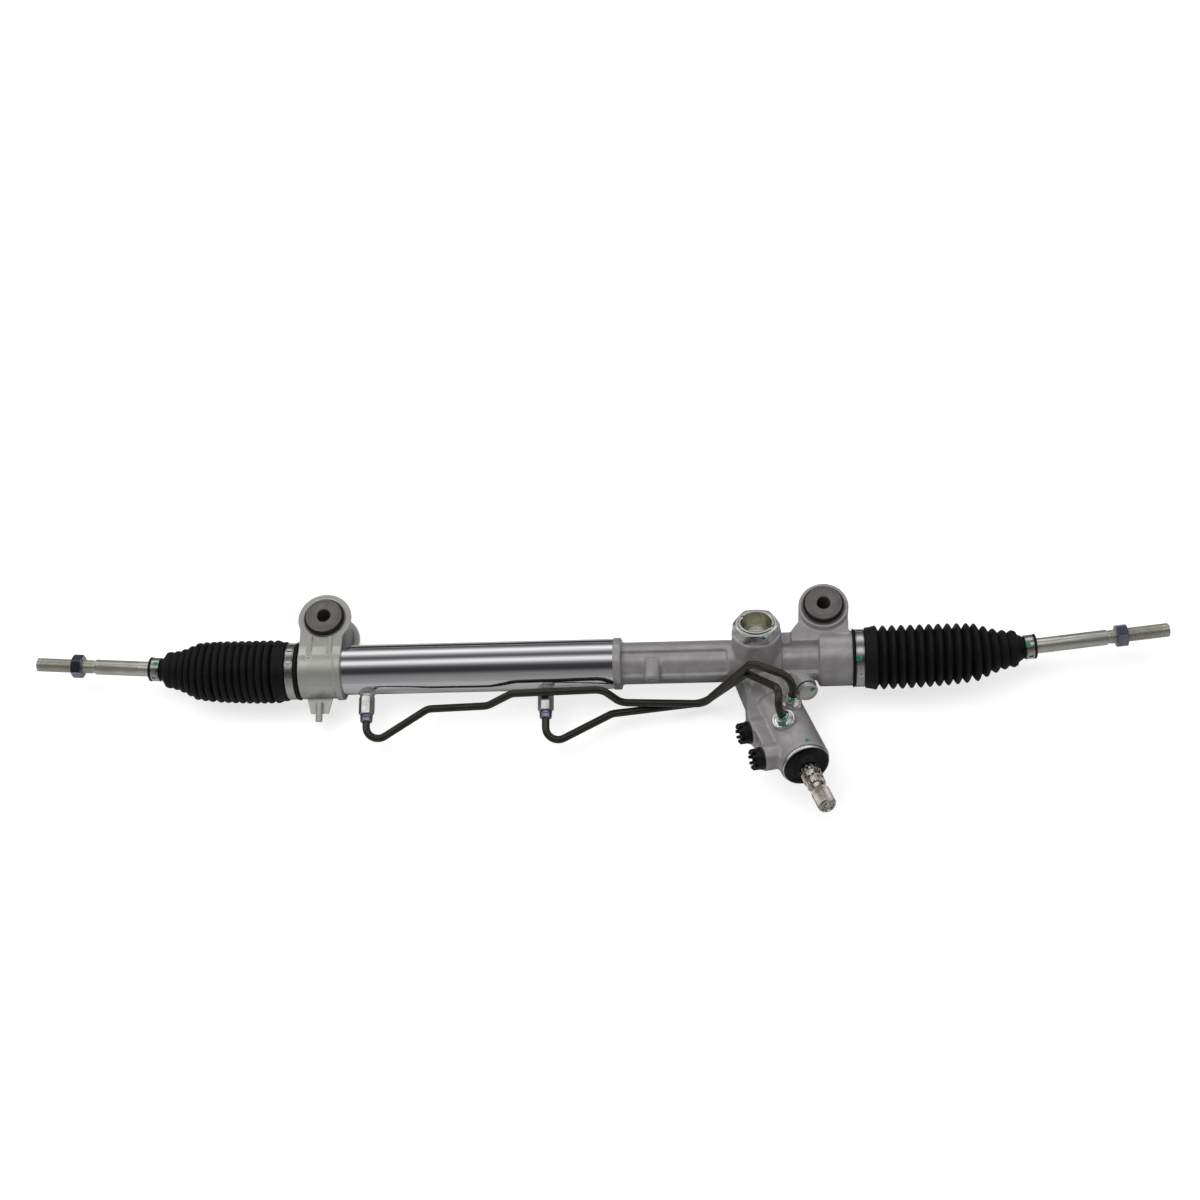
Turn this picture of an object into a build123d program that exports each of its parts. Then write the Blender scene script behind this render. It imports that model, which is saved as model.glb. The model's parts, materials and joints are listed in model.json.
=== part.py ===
"""Hydraulic power steering rack, seen lying on a bench, in millimetres.

X runs along the rack towards the pinion end, Z is up along the two mount bolts, and the
origin lies midway between those bolts at the height of the rack's axis.
"""

import os
from math import acos, asin, cos, degrees, pi, radians, sin, sqrt, tan

from build123d import *

# Mounts
bush_span = 526.0
bush_offset = 48.5
bush_hole = 14.2
bush_height = 68.0
bush_flange = 38.0
bush_flange_thick = 3.2
bush_neck = 22.0
bush_rubber = 42.4
bush_shell = 44.0
bush_shell_wall = 1.6
shell_inset = 5.5
rubber_recess = 0.8
bush_chamfer = 0.6

# Power cylinder
tube_outer = 52.6
tube_bore = 48.0
tube_overhang = 59.0
tube_spare = 149.7
left_port_in = 44.8
right_port_back = 71.7
port_drop = 10.0
boss_radius = 10.5
boss_reach = 30.5
port_hole = 6.0

# Left bracket
strap_thick = 3.6
lug_plate = 27.5
strap_out = 25.0
strap_in = 20.0
lug_radius = 28.4
bend_run = 4.0
hem_width = 7.0
hem_step = 1.8
bead_radius = 2.2
bead_rise = 1.1
bead_length = 26.0
bead_apart = 21.5
tab_out = 6.0
tab_wide = 29.0
tab_narrow = 19.0
tab_reach = 46.0
tab_thick = 2.4
tab_drop = 15.0
stud_radius = 3.6
stud_start = 35.0
stud_end = 55.0
stud_sunk = 0.6

# Rack and its travel
rack_radius = 13.0
left_ball_out = 95.0
right_ball_out = 137.0
rack_out_left = 88.0
rack_out_right = 46.0
stop_gap = 0.4
piston_back = 140.8
piston_width = 13.0
piston_clear = 0.3
piston_ring_width = 4.0
piston_ring_depth = 3.0
seal_clear = 0.05
stopper_length = 20.0
inner_seal_back = 54.8
inner_seal_length = 18.0

# Gearing
module = 1.8
pinion_teeth = 8
pressure_angle = 25.0
profile_shift = 0.3
backlash = 0.16
pinion_tip = 9.2
gear_distance = 16.0
gear_in = 70.5
skew = 18.0
tilt = 22.3
pinion_face = 34.0
toothed_before = 64.5
toothed_after = 107.5
tooth_clear = 0.4

# Gear housing
flange_radius = 27.3
flange_width = 8.4
spigot_length = 14.0
barrel_radius = 22.1
pocket_floor = 18.0
pocket_low = 155.0
left_pocket_high = 80.0
right_pocket_high = 66.0
pocket_margin = 5.0
rack_bore = 15.0
guide_boss_radius = 25.6
guide_boss_top = 40.0
collar_back = 6.0
collar_out = 28.2
boot_seat_out = 43.0
collar_radius = 28.7
collar_recess = 23.5
right_lug_radius = 26.0
right_lug_height = 55.0
web_side = 25.0
web_height = 46.0
web_corner = 34.5
web_corner_deep = 26.0
rib_reach = 22.0
rib_height = 40.0
tower_radius = 25.8
tower_bottom = -38.0
tower_top = 146.0
gear_case_radius = 21.0
gear_case_top = 52.0
bearing_case_radius = 24.4
bearing_case_end = 62.0
valve_bore = 20.5
port_boss_radius = 13.4
port_boss_reach = 39.0
port_bore = 8.3
port_web_thick = 24.0
port_web_reach = 37.5
port_web_foot = 25.0
port_web_waist = 27.5
bore_sag = 2.0
pressure_port_s = 88.0
return_port_s = 128.0
port_angle = 85.0
pipe_boss_radius = 11.6
pipe_boss_reach = 30.0
pipe_a_s = 84.0
pipe_a_angle = -14.0
pipe_b_s = 107.0
pipe_b_angle = 17.0
side_boss_radius = 11.8
side_plug_s = 50.0
side_plug_reach = 37.2
side_plug_angle = 280.0
side_plug_radius = 10.6
side_plug_length = 6.0
side_thread_radius = 8.6
side_plug_spare = 2.0
side_dish_radius = 7.5
side_dish_depth = 0.8
side_seal_thick = 1.2
screw_boss_back = 109.8
screw_boss_up = 9.0
screw_boss_reach = 27.0
screw_boss_radius = 8.5
screw_hole = 2.2
screw_depth = 10.0
screw_taper = 7.0
edge_slope = 3.0
flange_slope = 0.6
tower_overlap = 16.0

# Rack guide
guide_radius = 17.1
guide_clear = 0.05
guide_top = 24.0
plug_bottom = 27.0
plug_top = 53.0
plug_radius = 18.6
plug_hollow = 15.7
plug_floor = 9.0
plug_cove = 2.0
nut_across_flats = 43.0
nut_height = 11.5
nut_turn = 11.0
nut_chamfer = 1.5
spring_radius = 6.0
spring_wire = 1.1
spring_pitch = 3.6
spring_pocket = 8.4
spring_seat = 16.4

# Pinion shaft, valve and input shaft, measured along the pinion axis from the mesh
pinion_root_gap = 1.0
lower_journal = 6.0
lower_bearing_outer = 12.0
lower_bearing_length = 10.0
lower_bearing_gap = 3.0
upper_journal = 10.0
upper_bearing_outer = 19.0
upper_bearing_s = 24.0
upper_bearing_length = 13.0
bearing_shoulder = 4.0
head_radius = 16.5
head_s = 38.5
head_length = 19.0
nose_radius = 8.0
nose_depth = 9.0
sleeve_inner = 13.0
sleeve_s = 58.5
sleeve_length = 76.0
sleeve_clear = 0.06
sleeve_groove = 1.2
running_clear = 0.05
torsion_radius = 3.6
torsion_bottom = 28.0
torsion_top = 200.0
shaft_radius = 9.0
shaft_neck = 7.2
shaft_neck_s = 180.0
shaft_neck_length = 7.0
shaft_end_radius = 8.4
shaft_end_s = 210.0
shaft_core = 3.9
serration_count = 36
serration_depth = 0.7
seal_s = 136.5
seal_length = 6.0
ring_gap = 0.4
ring_thick = 1.8
cover_radius = 24.5
cover_thick = 3.0
cover_cone = 11.0
cover_rise = 7.0

# Tube nuts and pipes
pipe_radius = 4.0
pipe_bend = 16.0
pipe_first_bend = 13.0
pipe_last_bend = 12.0
pipe_a_drop = 86.0
pipe_a_rise = 58.0
pipe_b_drop = 89.0
pipe_b_rise = 47.5
nut_cover = 1.5
nut_flats = 17.0
nut_length = 19.0
nut_collar = 6.6
nut_collar_length = 5.0
valve_nut_length = 8.0
valve_nut_collar = 1.5

# Port caps
cap_radius = 11.7
cap_length = 11.5
cap_stem = 8.0
cap_stem_length = 12.0
cap_rib_count = 14
cap_rib = 0.9
cap_gap = 0.3

# Ball joints and tie rods, measured along the rod from the ball
ball_radius = 12.5
ball_gap = 0.1
seat_thick = 2.4
seat_mouth = 59.0
socket_mouth = 64.0
socket_radius = 19.5
socket_back = 20.0
socket_front = 8.5
socket_flats = 36.0
lock_washer_thick = 2.0
lock_washer_radius = 18.0
stud_thread = 7.0
stud_length = 16.0
rod_neck = 6.5
rod_radius = 8.0
rod_swell = 40.0
hex_start = 107.0
hex_end = 155.0
hex_flats = 14.8
nut_seat_step = 0.5
thread_radius = 7.0
rod_length = 220.0
rod_chamfer = 1.6
left_rod_tilt = 4.0
right_rod_tilt = 6.3
jam_flats = 22.0
jam_length = 11.5
left_jam_start = 169.0
right_jam_start = 164.5

# Boots
boot_wall = 1.6
left_cuff = 29.0
right_cuff = 26.0
cuff_radius = 29.0
ridge_count = 15
left_ridge_radius = 35.0
right_ridge_radius = 33.6
left_shoulder = 8
right_shoulder = 5
ridge_depth = 6.0
left_boot_out = 26.0
soft_clear = 0.3
left_neck = 88.0
right_neck = 74.0
neck_length = 14.0
neck_outer = 11.5
clip_width = 9.0
clip_thick = 1.4
clamp_width = 9.0
clamp_thick = 1.3
clamp_ear = 6.0
clamp_turn = 120.0
clamp_from_end = 4.0
clip_ear = 4.0
clip_turn = 120.0

os.makedirs("parts", exist_ok=True)


def save(piece, name):
    """Label the finished piece and write its file."""
    piece.part.label = name
    export_step(piece.part, f"parts/{name}.step")


def turned(side, outline):
    """Revolve a closed outline of (along, radius) points about the plane's X axis."""
    with BuildPart() as piece:
        with BuildSketch(side):
            with BuildLine():
                Polyline(*outline, close=True)
            make_face()
        revolve(axis=Axis(side.origin, side.x_dir))
    return piece


def ring(side, start, end, inner, outer):
    """A plain turned ring between two stations."""
    return turned(side, [(start, inner), (end, inner), (end, outer), (start, outer)])


# Stations along the rack, from the mount bolts and the gear
left_bush_x = -bush_span / 2
right_bush_x = bush_span / 2
bush_shell_height = bush_height - 2 * shell_inset
tube_left = left_bush_x - tube_overhang
port_left = left_bush_x + left_port_in
strap_left = left_bush_x - strap_out
strap_right = left_bush_x + strap_in
tab_x = left_bush_x - tab_out
boot_left_end = left_bush_x - left_boot_out
left_ball_x = left_bush_x - left_ball_out
right_ball_x = right_bush_x + right_ball_out
collar_left = right_bush_x - collar_back
collar_right = right_bush_x + collar_out
boot_seat_right = right_bush_x + boot_seat_out
gear_x = right_bush_x - gear_in
toothed_left = gear_x - toothed_before
toothed_right = gear_x + toothed_after
tube_right = gear_x - tube_spare
flange_right = tube_right + flange_width
port_right = tube_right - right_port_back
piston_x = tube_right - piston_back
inner_seal_x = tube_right - inner_seal_back
screw_boss_x = gear_x - screw_boss_back

# Axes and planes
rack_y = -bush_offset
rack_side = Plane(origin=(0, rack_y, 0), x_dir=(1, 0, 0), z_dir=(0, -1, 0))
rack_axis = Axis((0, rack_y, 0), (1, 0, 0))


def across(x):
    """The plane square to the rack at a station, local X along +Y, local Y up."""
    return Plane(origin=(x, rack_y, 0), x_dir=(0, 1, 0), z_dir=(1, 0, 0))


guide_dir = Vector(0, sin(radians(tilt)), cos(radians(tilt)))
square_dir = Vector(0, -cos(radians(tilt)), sin(radians(tilt)))
pinion_dir = Vector(1, 0, 0) * sin(radians(skew)) + square_dir * cos(radians(skew))
side_dir = pinion_dir.cross(guide_dir)
gear_centre = Vector(gear_x, rack_y, 0)
pinion_centre = gear_centre - guide_dir * gear_distance
pinion_side = Plane(origin=pinion_centre, x_dir=pinion_dir, z_dir=side_dir)
guide_side = Plane(origin=gear_centre, x_dir=guide_dir, z_dir=(1, 0, 0))


def around(angle):
    """A direction square to the pinion's axis, turned from the guide's direction."""
    return guide_dir * cos(radians(angle)) + side_dir * sin(radians(angle))


def branch(s, angle):
    """The side plane of a port that leaves the pinion's axis at a station."""
    start = pinion_centre + pinion_dir * s
    return Plane(origin=start, x_dir=around(angle), z_dir=pinion_dir)


port_dir = Vector(0, -cos(radians(port_drop)), -sin(radians(port_drop)))


def port_side(x):
    """The side plane of a cylinder port at a station of the tube."""
    return Plane(origin=(x, rack_y, 0), x_dir=port_dir, z_dir=(1, 0, 0))


tab_dir = Vector(0, -cos(radians(tab_drop)), -sin(radians(tab_drop)))
left_rod_dir = Vector(-cos(radians(left_rod_tilt)), sin(radians(left_rod_tilt)), 0)
right_rod_dir = Vector(cos(radians(right_rod_tilt)), sin(radians(right_rod_tilt)), 0)
left_ball = Vector(left_ball_x, rack_y, 0)
right_ball = Vector(right_ball_x, rack_y, 0)
left_rod_side = Plane(origin=left_ball, x_dir=left_rod_dir, z_dir=(0, 0, 1))
right_rod_side = Plane(origin=right_ball, x_dir=right_rod_dir, z_dir=(0, 0, 1))


def facing(side, along):
    """The plane square to a side plane's X axis at a distance along it."""
    return Plane(origin=side.origin + side.x_dir * along, x_dir=side.z_dir, z_dir=side.x_dir)


# Gear numbers
pitch_radius = module * pinion_teeth / 2
rack_pitch = pi * module
reference_distance = pitch_radius + profile_shift * module
rack_tip = gear_distance - (reference_distance - module)
rack_root = gear_distance - (pinion_tip + tooth_clear)
pinion_root = reference_distance - module - tooth_clear
base_radius = pitch_radius * cos(radians(pressure_angle))


def involute(angle):
    """The involute function of a pressure angle in radians."""
    return tan(angle) - angle


def half_tooth(radius):
    """Half the angle of a pinion tooth at a radius, in radians."""
    thick = module * (pi / 2 + 2 * profile_shift * tan(radians(pressure_angle))) - backlash
    at_pitch = thick / (2 * pitch_radius) + involute(radians(pressure_angle))
    return at_pitch - involute(acos(min(1.0, base_radius / radius)))


# Stations worked out from the values above
tube_radius = tube_outer / 2
strap_radius = tube_radius + strap_thick
rack_left = left_ball_x + socket_back + lock_washer_thick
rack_right = right_ball_x - socket_back - lock_washer_thick
stop_left = rack_left + rack_out_right + stop_gap
stop_right = rack_right - rack_out_left - stop_gap
sleeve_outer = valve_bore - sleeve_clear
pinion_start = -pinion_face / 2
pinion_end = pinion_face / 2
lower_bearing_s = pinion_start - lower_bearing_gap - lower_bearing_length
seal_end = seal_s + seal_length
ring_s = seal_end + ring_gap
cover_s = tower_top
bush_pocket = rack_radius + 5.0
side_plug_face = (
    pinion_centre + pinion_dir * side_plug_s + around(side_plug_angle) * side_plug_reach
)
side_plug_plane = Plane(origin=side_plug_face, x_dir=side_dir, z_dir=pinion_dir)
side_plug_side = Plane(origin=side_plug_face, x_dir=pinion_dir, z_dir=side_dir)
screw_side = Plane(origin=(screw_boss_x, rack_y, screw_boss_up), x_dir=(0, -1, 0), z_dir=(1, 0, 0))
port_out = around(port_angle)
port_web_side = Plane(origin=pinion_centre, x_dir=port_out, z_dir=port_out.cross(pinion_dir))
nut_seat_radius = thread_radius - nut_seat_step
seat_outer = ball_radius + ball_gap + seat_thick
socket_cavity = seat_outer + ball_gap


def cylinder_tube():
    with BuildPart() as piece:
        with BuildSketch(across(tube_left)):
            Circle(tube_radius)
            Circle(tube_bore / 2, mode=Mode.SUBTRACT)
        extrude(amount=tube_right - tube_left)
        for x in (port_left, port_right):
            with BuildSketch(facing(port_side(x), 0)):
                Circle(port_hole)
            extrude(amount=tube_outer, mode=Mode.SUBTRACT)
    return piece


def port_boss(x):
    """The drilled boss welded to the tube, saddled on its round wall."""
    with BuildPart() as piece:
        with BuildSketch(facing(port_side(x), 0)):
            Circle(boss_radius)
            Circle(port_hole, mode=Mode.SUBTRACT)
        extrude(amount=boss_reach)
        with BuildSketch(across(x - 2 * boss_radius)):
            Circle(tube_radius)
        extrude(amount=4 * boss_radius, mode=Mode.SUBTRACT)
    return piece


def left_bracket():
    """A strap wrapped round the tube, whose ends step in and run on as the lug plates."""
    length = strap_right - strap_left
    inner_plate = lug_plate - strap_thick
    bend_end = sqrt(tube_radius**2 - inner_plate**2) + bend_run
    middle = (strap_left + strap_right) / 2
    with BuildPart() as piece:
        with BuildSketch(across(strap_left)):
            Circle(strap_radius)
            with BuildLine():
                Polyline(
                    (0, strap_radius),
                    (strap_thick, strap_radius),
                    (bend_end, lug_plate),
                    (bush_offset, lug_plate),
                    (bush_offset, -lug_plate),
                    (bend_end, -lug_plate),
                    (strap_thick, -strap_radius),
                    (0, -strap_radius),
                    close=True,
                )
            make_face()
            Circle(tube_radius, mode=Mode.SUBTRACT)
            with BuildLine():
                Polyline(
                    (0, inner_plate),
                    (bush_offset, inner_plate),
                    (bush_offset, -inner_plate),
                    (0, -inner_plate),
                    close=True,
                )
            make_face(mode=Mode.SUBTRACT)
        extrude(amount=length)
        for low in (-lug_plate, inner_plate):
            with BuildSketch(Plane.XY.offset(low)):
                with Locations((left_bush_x, 0)):
                    Circle(lug_radius)
            extrude(amount=strap_thick)
        # A stepped hem stands round the strap's free edge
        with BuildSketch(across(strap_right - hem_width)):
            Circle(strap_radius + hem_step)
            Circle(tube_radius, mode=Mode.SUBTRACT)
            with Locations((tube_outer, 0)):
                Rectangle(2 * tube_outer, 4 * strap_radius, mode=Mode.SUBTRACT)
        extrude(amount=hem_width)
        with BuildSketch(Plane.XY.offset(-lug_plate - 1)):
            with Locations((left_bush_x, 0)):
                Circle(bush_shell / 2)
        extrude(amount=2 * lug_plate + 2, mode=Mode.SUBTRACT)
        for x in (middle - bead_apart / 2, middle + bead_apart / 2):
            with BuildSketch(Plane.XY.offset(lug_plate)):
                with Locations((x, rack_y + bead_length / 2)):
                    SlotOverall(bead_length, 2 * bead_radius, rotation=90)
            extrude(amount=strap_radius - lug_plate + bead_rise)
    return piece


def bracket_tab():
    """The bent tab under the strap, and the stud welded on it."""
    flat = Plane(origin=(tab_x, rack_y, 0), x_dir=tab_dir, z_dir=tab_dir.cross(Vector(1, 0, 0)))
    with BuildPart() as piece:
        with BuildSketch(flat):
            with BuildLine():
                Polyline(
                    (tube_radius, -tab_wide / 2),
                    (tab_reach, -tab_narrow / 2),
                    (tab_reach, tab_narrow / 2),
                    (tube_radius, tab_wide / 2),
                    close=True,
                )
            make_face()
        extrude(amount=-tab_thick)
        with BuildSketch(facing(flat, stud_start)):
            with Locations((stud_radius - stud_sunk, 0)):
                Circle(stud_radius)
        extrude(amount=stud_end - stud_start)
        with BuildSketch(across(tab_x - tab_wide)):
            Circle(strap_radius)
        extrude(amount=2 * tab_wide, mode=Mode.SUBTRACT)
    return piece


def bush_side(x):
    return Plane(origin=(x, 0, 0), x_dir=(0, 0, 1), z_dir=(0, -1, 0))


def bush_shell_ring(x):
    half = bush_shell_height / 2
    return ring(bush_side(x), -half, half, bush_shell / 2 - bush_shell_wall, bush_shell / 2)


def bush_rubber_ring(x):
    """The rubber between sleeve and shell, swelling out over both ends of the shell."""
    top = bush_height / 2 - bush_flange_thick
    inner = bush_neck / 2
    outer = bush_shell / 2 - bush_shell_wall
    swell = bush_rubber / 2
    half = bush_shell_height / 2
    return turned(
        bush_side(x),
        [
            (-top, inner),
            (top, inner),
            (top, swell - rubber_recess),
            (half, swell),
            (half, outer),
            (-half, outer),
            (-half, swell),
            (-top, swell - rubber_recess),
        ],
    )


def bush_sleeve(x):
    """The inner sleeve with a wide flange at each end."""
    top = bush_height / 2
    under = top - bush_flange_thick
    hole = bush_hole / 2
    flange = bush_flange / 2
    neck = bush_neck / 2
    return turned(
        bush_side(x),
        [
            (-top, hole),
            (top, hole),
            (top, flange - bush_chamfer),
            (top - bush_chamfer, flange),
            (under, flange),
            (under, neck),
            (-under, neck),
            (-under, flange),
            (bush_chamfer - top, flange),
            (-top, flange - bush_chamfer),
        ],
    )


def gear_housing():
    """The casting: barrel, flange, guide boss, valve tower, collar, lug and port bosses."""
    with BuildPart() as piece:
        # Barrel, flange, spigot and collar, all round the rack
        with BuildSketch(rack_side):
            with BuildLine():
                Polyline(
                    (tube_right - spigot_length, 0),
                    (tube_right - spigot_length, tube_bore / 2),
                    (tube_right, tube_bore / 2),
                    (tube_right, flange_radius),
                    (flange_right, flange_radius),
                    (flange_right + flange_slope, barrel_radius),
                    (collar_left - edge_slope, barrel_radius),
                    (collar_left, collar_radius),
                    (collar_right, collar_radius),
                    (collar_right, tube_radius),
                    (boot_seat_right, tube_radius),
                    (boot_seat_right, 0),
                    close=True,
                )
            make_face()
        revolve(axis=rack_axis)
        # Right lug, its web and the rib towards the guide boss
        with BuildSketch(Plane.XY.offset(-right_lug_height / 2)):
            with Locations((right_bush_x, 0)):
                Circle(right_lug_radius)
        extrude(amount=right_lug_height)
        with BuildSketch(Plane.XY.offset(-web_height / 2)):
            with BuildLine():
                Polyline(
                    (right_bush_x - web_side, 0),
                    (right_bush_x - web_side, -right_lug_radius / 2),
                    (right_bush_x - web_corner, -web_corner_deep),
                    (right_bush_x - web_corner, rack_y),
                    (right_bush_x + web_side, rack_y),
                    (right_bush_x + web_side, 0),
                    close=True,
                )
            make_face()
        extrude(amount=web_height)
        with BuildSketch(Plane.XY.offset(-rib_height / 2)):
            with BuildLine():
                Polyline(
                    (gear_x, rack_y),
                    (right_bush_x - web_corner, rack_y),
                    (right_bush_x - web_corner, rack_y + rib_reach),
                    (gear_x, rack_y + rib_reach),
                    close=True,
                )
            make_face()
        extrude(amount=rib_height)
        # Guide boss
        with BuildSketch(facing(guide_side, 0)):
            Circle(guide_boss_radius)
        extrude(amount=guide_boss_top)
        # Valve tower round the pinion
        with BuildSketch(facing(pinion_side, tower_bottom)):
            Circle(gear_case_radius)
        extrude(amount=gear_case_top - tower_bottom)
        with BuildSketch(facing(pinion_side, gear_case_top - tower_overlap)):
            Circle(bearing_case_radius)
        extrude(amount=bearing_case_end - gear_case_top + tower_overlap)
        with BuildSketch(facing(pinion_side, bearing_case_end)):
            Circle(tower_radius)
        extrude(amount=tower_top - bearing_case_end)
        # The web that carries both ports, then the bosses of ports, pipes and side plug
        with BuildSketch(port_web_side):
            with BuildLine():
                Polyline(
                    (0, 0),
                    (port_web_foot, 0),
                    (port_web_waist, pressure_port_s / 2),
                    (port_web_reach, pressure_port_s - port_boss_radius),
                    (port_web_reach, return_port_s),
                    (0, return_port_s),
                    close=True,
                )
            make_face()
        extrude(amount=port_web_thick / 2, both=True)
        for s in (pressure_port_s, return_port_s):
            with BuildSketch(facing(branch(s, port_angle), 0)):
                Circle(port_boss_radius)
            extrude(amount=port_boss_reach)
        for s, angle in ((pipe_a_s, pipe_a_angle), (pipe_b_s, pipe_b_angle)):
            with BuildSketch(facing(branch(s, angle), 0)):
                Circle(pipe_boss_radius)
            extrude(amount=pipe_boss_reach)
        with BuildSketch(side_plug_plane.offset(-side_plug_reach)):
            Circle(side_boss_radius)
        extrude(amount=side_plug_reach - side_seal_thick)
        with BuildSketch(facing(screw_side, 0)):
            Circle(screw_boss_radius)
        extrude(amount=screw_boss_reach, taper=screw_taper)
        # Lightening pockets on the upper side of the barrel
        for left, right, high in (
            (flange_right, gear_x - guide_boss_radius - pocket_margin, left_pocket_high),
            (gear_x + guide_boss_radius, collar_left, right_pocket_high),
        ):
            with BuildSketch(across(left)):
                with BuildLine():
                    outer = CenterArc((0, 0), 2 * barrel_radius, high, pocket_low - high)
                    inner = CenterArc((0, 0), pocket_floor, high, pocket_low - high)
                    Line(outer @ 0, inner @ 0)
                    Line(outer @ 1, inner @ 1)
                make_face()
            extrude(amount=right - left, mode=Mode.SUBTRACT)
        # Rack bore, collar recess and tube-side clearance
        with BuildSketch(rack_side):
            with BuildLine():
                Polyline(
                    (tube_right - spigot_length - 1, 0),
                    (tube_right - spigot_length - 1, rack_bore),
                    (collar_left + 1, rack_bore),
                    (collar_left + 1, bush_pocket),
                    (stop_right, bush_pocket),
                    (stop_right, collar_recess),
                    (boot_seat_right + 1, collar_recess),
                    (boot_seat_right + 1, 0),
                    close=True,
                )
            make_face()
        revolve(axis=rack_axis, mode=Mode.SUBTRACT)
        # Guide bore and its wider thread
        with BuildSketch(guide_side):
            with BuildLine():
                Polyline(
                    (0, 0),
                    (0, guide_radius + guide_clear),
                    (guide_top, guide_radius + guide_clear),
                    (guide_top, plug_radius),
                    (guide_boss_top + 1, plug_radius),
                    (guide_boss_top + 1, 0),
                    close=True,
                )
            make_face()
        revolve(axis=Axis(gear_centre, guide_dir), mode=Mode.SUBTRACT)
        # Pinion and valve bore
        with BuildSketch(pinion_side):
            with BuildLine():
                Polyline(
                    (lower_bearing_s, 0),
                    (lower_bearing_s, lower_bearing_outer),
                    (pinion_end + 2, lower_bearing_outer),
                    (pinion_end + 2, upper_bearing_outer - bearing_shoulder),
                    (upper_bearing_s, upper_bearing_outer - bearing_shoulder),
                    (upper_bearing_s, upper_bearing_outer),
                    (head_s, upper_bearing_outer),
                    (head_s, valve_bore),
                    (tower_top + 1, valve_bore),
                    (tower_top + 1, 0),
                    close=True,
                )
            make_face()
        revolve(axis=Axis(pinion_centre, pinion_dir), mode=Mode.SUBTRACT)
        # Drilled ports
        for s in (pressure_port_s, return_port_s):
            with BuildSketch(facing(branch(s, port_angle), port_boss_reach)):
                Circle(port_bore)
            extrude(amount=-(port_boss_reach - valve_bore + bore_sag), mode=Mode.SUBTRACT)
        for s, angle in ((pipe_a_s, pipe_a_angle), (pipe_b_s, pipe_b_angle)):
            with BuildSketch(facing(branch(s, angle), pipe_boss_reach)):
                Circle(pipe_radius)
            extrude(amount=-(pipe_boss_reach - valve_bore + bore_sag), mode=Mode.SUBTRACT)
        with BuildSketch(side_plug_plane):
            Circle(side_thread_radius)
        extrude(amount=-side_plug_length - side_plug_spare, mode=Mode.SUBTRACT)
        with BuildSketch(facing(screw_side, screw_boss_reach)):
            Circle(screw_hole)
        extrude(amount=-screw_depth, mode=Mode.SUBTRACT)
        # Seat of the right mount bush
        with BuildSketch(Plane.XY.offset(-right_lug_height / 2 - 1)):
            with Locations((right_bush_x, 0)):
                Circle(bush_shell / 2)
        extrude(amount=right_lug_height + 2, mode=Mode.SUBTRACT)
    return piece


def rack_bar():
    """The bar with its slanted teeth, which lie along the pinion's axis."""
    tooth_plane = Plane(origin=gear_centre, x_dir=side_dir * -1, z_dir=pinion_dir)
    step = rack_pitch
    reach = max(gear_x - toothed_left, toothed_right - gear_x) + 2 * rack_radius
    first = int((toothed_left - gear_x) * cos(radians(skew)) / step)
    last = int((toothed_right - gear_x) * cos(radians(skew)) / step)
    slope = tan(radians(pressure_angle))
    # Distance of the reference line below the rack axis, then the space at root and mouth
    line = gear_distance - reference_distance
    mouth = rack_tip + 4
    root_half = step / 4 - (line - rack_root) * slope
    mouth_half = step / 4 + (mouth - line) * slope
    with BuildPart() as piece:
        with BuildSketch(across(rack_left)):
            Circle(rack_radius)
        extrude(amount=rack_right - rack_left)
        for end, inward in ((rack_left, 1), (rack_right, -1)):
            with BuildSketch(across(end)):
                Circle(stud_thread)
            extrude(amount=inward * (stud_length + 2), mode=Mode.SUBTRACT)
        with BuildSketch(Plane(gear_centre - guide_dir * rack_tip, (1, 0, 0), guide_dir)):
            with Locations(((toothed_left + toothed_right) / 2 - gear_x, 0)):
                Rectangle(toothed_right - toothed_left, 3 * rack_radius)
        extrude(amount=-rack_radius, mode=Mode.SUBTRACT)
        with BuildSketch(tooth_plane):
            for k in range(first, last + 1):
                middle = k * step
                with BuildLine():
                    Polyline(
                        (middle - root_half, -rack_root),
                        (middle + root_half, -rack_root),
                        (middle + mouth_half, -mouth),
                        (middle - mouth_half, -mouth),
                        close=True,
                    )
                make_face()
        extrude(amount=reach, both=True, mode=Mode.SUBTRACT)
    return piece


def piston():
    """The piston crimped on the bar, with the groove of its ring."""
    half = piston_width / 2
    outer = tube_bore / 2 - piston_clear
    groove = outer - piston_ring_depth
    side = piston_ring_width / 2 + running_clear
    return turned(
        rack_side,
        [
            (piston_x - half, rack_radius),
            (piston_x + half, rack_radius),
            (piston_x + half, outer - 1.2),
            (piston_x + half - 1.2, outer),
            (piston_x + side, outer),
            (piston_x + side, groove),
            (piston_x - side, groove),
            (piston_x - side, outer),
            (piston_x - half + 1.2, outer),
            (piston_x - half, outer - 1.2),
        ],
    )


def piston_ring():
    half = piston_ring_width / 2
    outer = tube_bore / 2 - seal_clear
    inner = tube_bore / 2 - piston_clear - piston_ring_depth
    return ring(rack_side, piston_x - half, piston_x + half, inner, outer)


def end_stopper():
    """Seal carrier and stop at the tube's open end."""
    start = stop_left
    end = stop_left + stopper_length
    bore = rack_radius + seal_clear
    return turned(
        rack_side,
        [
            (start, bore),
            (end, bore),
            (end, tube_bore / 2 - 4),
            (end - 6, tube_bore / 2 - 4),
            (end - 6, tube_bore / 2),
            (start, tube_bore / 2),
        ],
    )


def inner_seal():
    """Rod seal carrier at the housing end of the power cylinder."""
    start = inner_seal_x - inner_seal_length / 2
    end = inner_seal_x + inner_seal_length / 2
    bore = rack_radius + seal_clear
    return turned(
        rack_side,
        [
            (start, bore),
            (end, bore),
            (end, tube_bore / 2),
            (start + 5, tube_bore / 2),
            (start + 5, tube_bore / 2 - 3),
            (start, tube_bore / 2 - 3),
        ],
    )


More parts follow.
